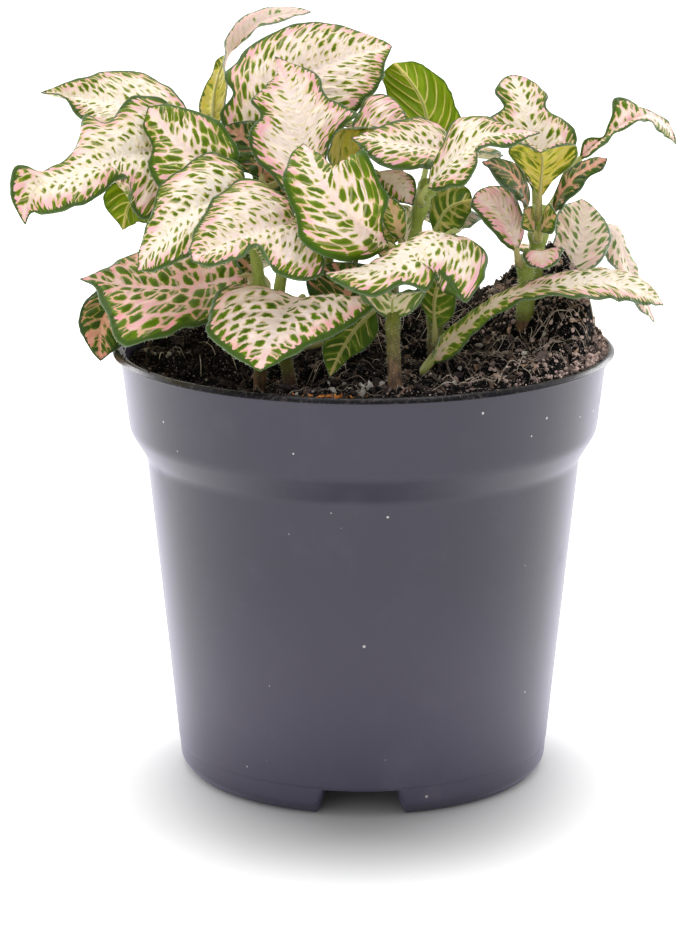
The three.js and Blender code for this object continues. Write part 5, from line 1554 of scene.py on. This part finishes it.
# hairs of a leaf's stalk, of each of its edges and of a stem: how many, the shortest and longest, radius
HAIRS = {
    "stalk": {"tuft": (50, 0.3, 0.7), "radius": 0.04},
    "edge": {"tuft": (55, 0.25, 0.55), "radius": 0.035},
    "stem": {"tuft": (330, 0.4, 1.0), "radius": 0.045},
}
rng = np.random.default_rng(7)
joints = {name: [] for name in STEMS}
stalk_hair, edge_hair, stem_hair = [], [], []
for number, leaf in enumerate(LEAVES + BRACTS):
    joint, middle, normal, stalk = leaf_piece(leaf, number)
    joints[leaf["stem"]].append(joint)
    stalk_hair.append(fuzz(rng, *stalk, *HAIRS["stalk"]["tuft"]))
    edge_hair.append(fringe(rng, middle, normal, *HAIRS["edge"]["tuft"]))
for name in STEMS:
    path, radii, ground = stem_piece(name, joints[name], MATERIALS["stem"])
    stem_hair.append(fuzz(rng, path, radii, *HAIRS["stem"]["tuft"]))
hair_piece("stem_hairs", stem_hair, HAIRS["stem"]["radius"])
hair_piece("stalk_hairs", stalk_hair, HAIRS["stalk"]["radius"])
hair_piece("edge_hairs", edge_hair, HAIRS["edge"]["radius"])
soil_piece(MATERIALS["soil"])
crumb_pieces(rng)
fibre_piece(rng)
pot_piece(MATERIALS["pot"])

# ------------------------------------------------------------------------- floor, light and camera
floor_mesh = bpy.data.meshes.new("floor")
side = 4.0
corners = [(-side, -side, 0), (side, -side, 0), (side, side, 0), (-side, side, 0)]
floor_mesh.from_pydata(corners, [], [(0, 1, 2, 3)])
floor_mesh.materials.append(floor_face())
floor = put("floor", floor_mesh)

SKY = {"on_plant": 0.68, "seen": 1.0}  # strength of the white sky as light, and as the camera sees it
world = bpy.data.worlds.new("studio")
bpy.context.scene.world = world
world.use_nodes = True
sky = Tree(world.node_tree)
seen = sky.node("ShaderNodeLightPath").outputs["Is Camera Ray"]
strength = sky.step(seen, 0, 1, SKY["on_plant"], SKY["seen"])
sky.fill(world.node_tree.nodes["Background"], {"Strength": strength, "Color": (1, 1, 1, 1)})

LIGHTS = {
    # name: size, power in watts, place in metres, the point that it faces
    "over": (0.8, 8.0, (0.0, 0.3, 1.15), (0, 0, 0.1)),
    "left": (0.7, 6.5, (-0.85, 0.85, 0.35), (0, 0, 0.06)),
    "right": (0.7, 6.5, (0.85, 0.85, 0.35), (0, 0, 0.06)),
    "front": (0.9, 3.5, (-0.6, -1.15, 0.32), (0, 0, 0.08)),
}
for name, (size, power, at, to) in LIGHTS.items():
    light = bpy.data.lights.new(name, "AREA")
    light.size, light.energy = size, power
    lamp = put(name, light)
    way = unit(np.array(at) - np.array(to))
    across = unit(np.cross(UP, way))
    turn = np.stack([across, np.cross(way, across), way], 1)
    lamp.matrix_world = Matrix.Translation(at) @ Matrix(turn.tolist()).to_4x4()

CAMERA = {"at": (-0.0056, -0.800, 0.272), "pitch": 13.9, "lens": 131.93, "sensor": 36.0}
lens = bpy.data.cameras.new("photo")
lens.lens, lens.sensor_width, lens.sensor_fit = CAMERA["lens"], CAMERA["sensor"], "AUTO"
lens.clip_start, lens.clip_end = 0.05, 20
camera = put("photo", lens)
pitch = np.radians(CAMERA["pitch"])
ahead, above = np.array([0, np.cos(pitch), -np.sin(pitch)]), np.array([0, np.sin(pitch), np.cos(pitch)])
right = np.array([1.0, 0, 0])
turn = np.stack([right, above, -ahead], 1)
camera.matrix_world = Matrix.Translation(CAMERA["at"]) @ Matrix(turn.tolist()).to_4x4()
bpy.context.scene.camera = camera
bpy.context.scene.view_settings.view_transform = "Standard"
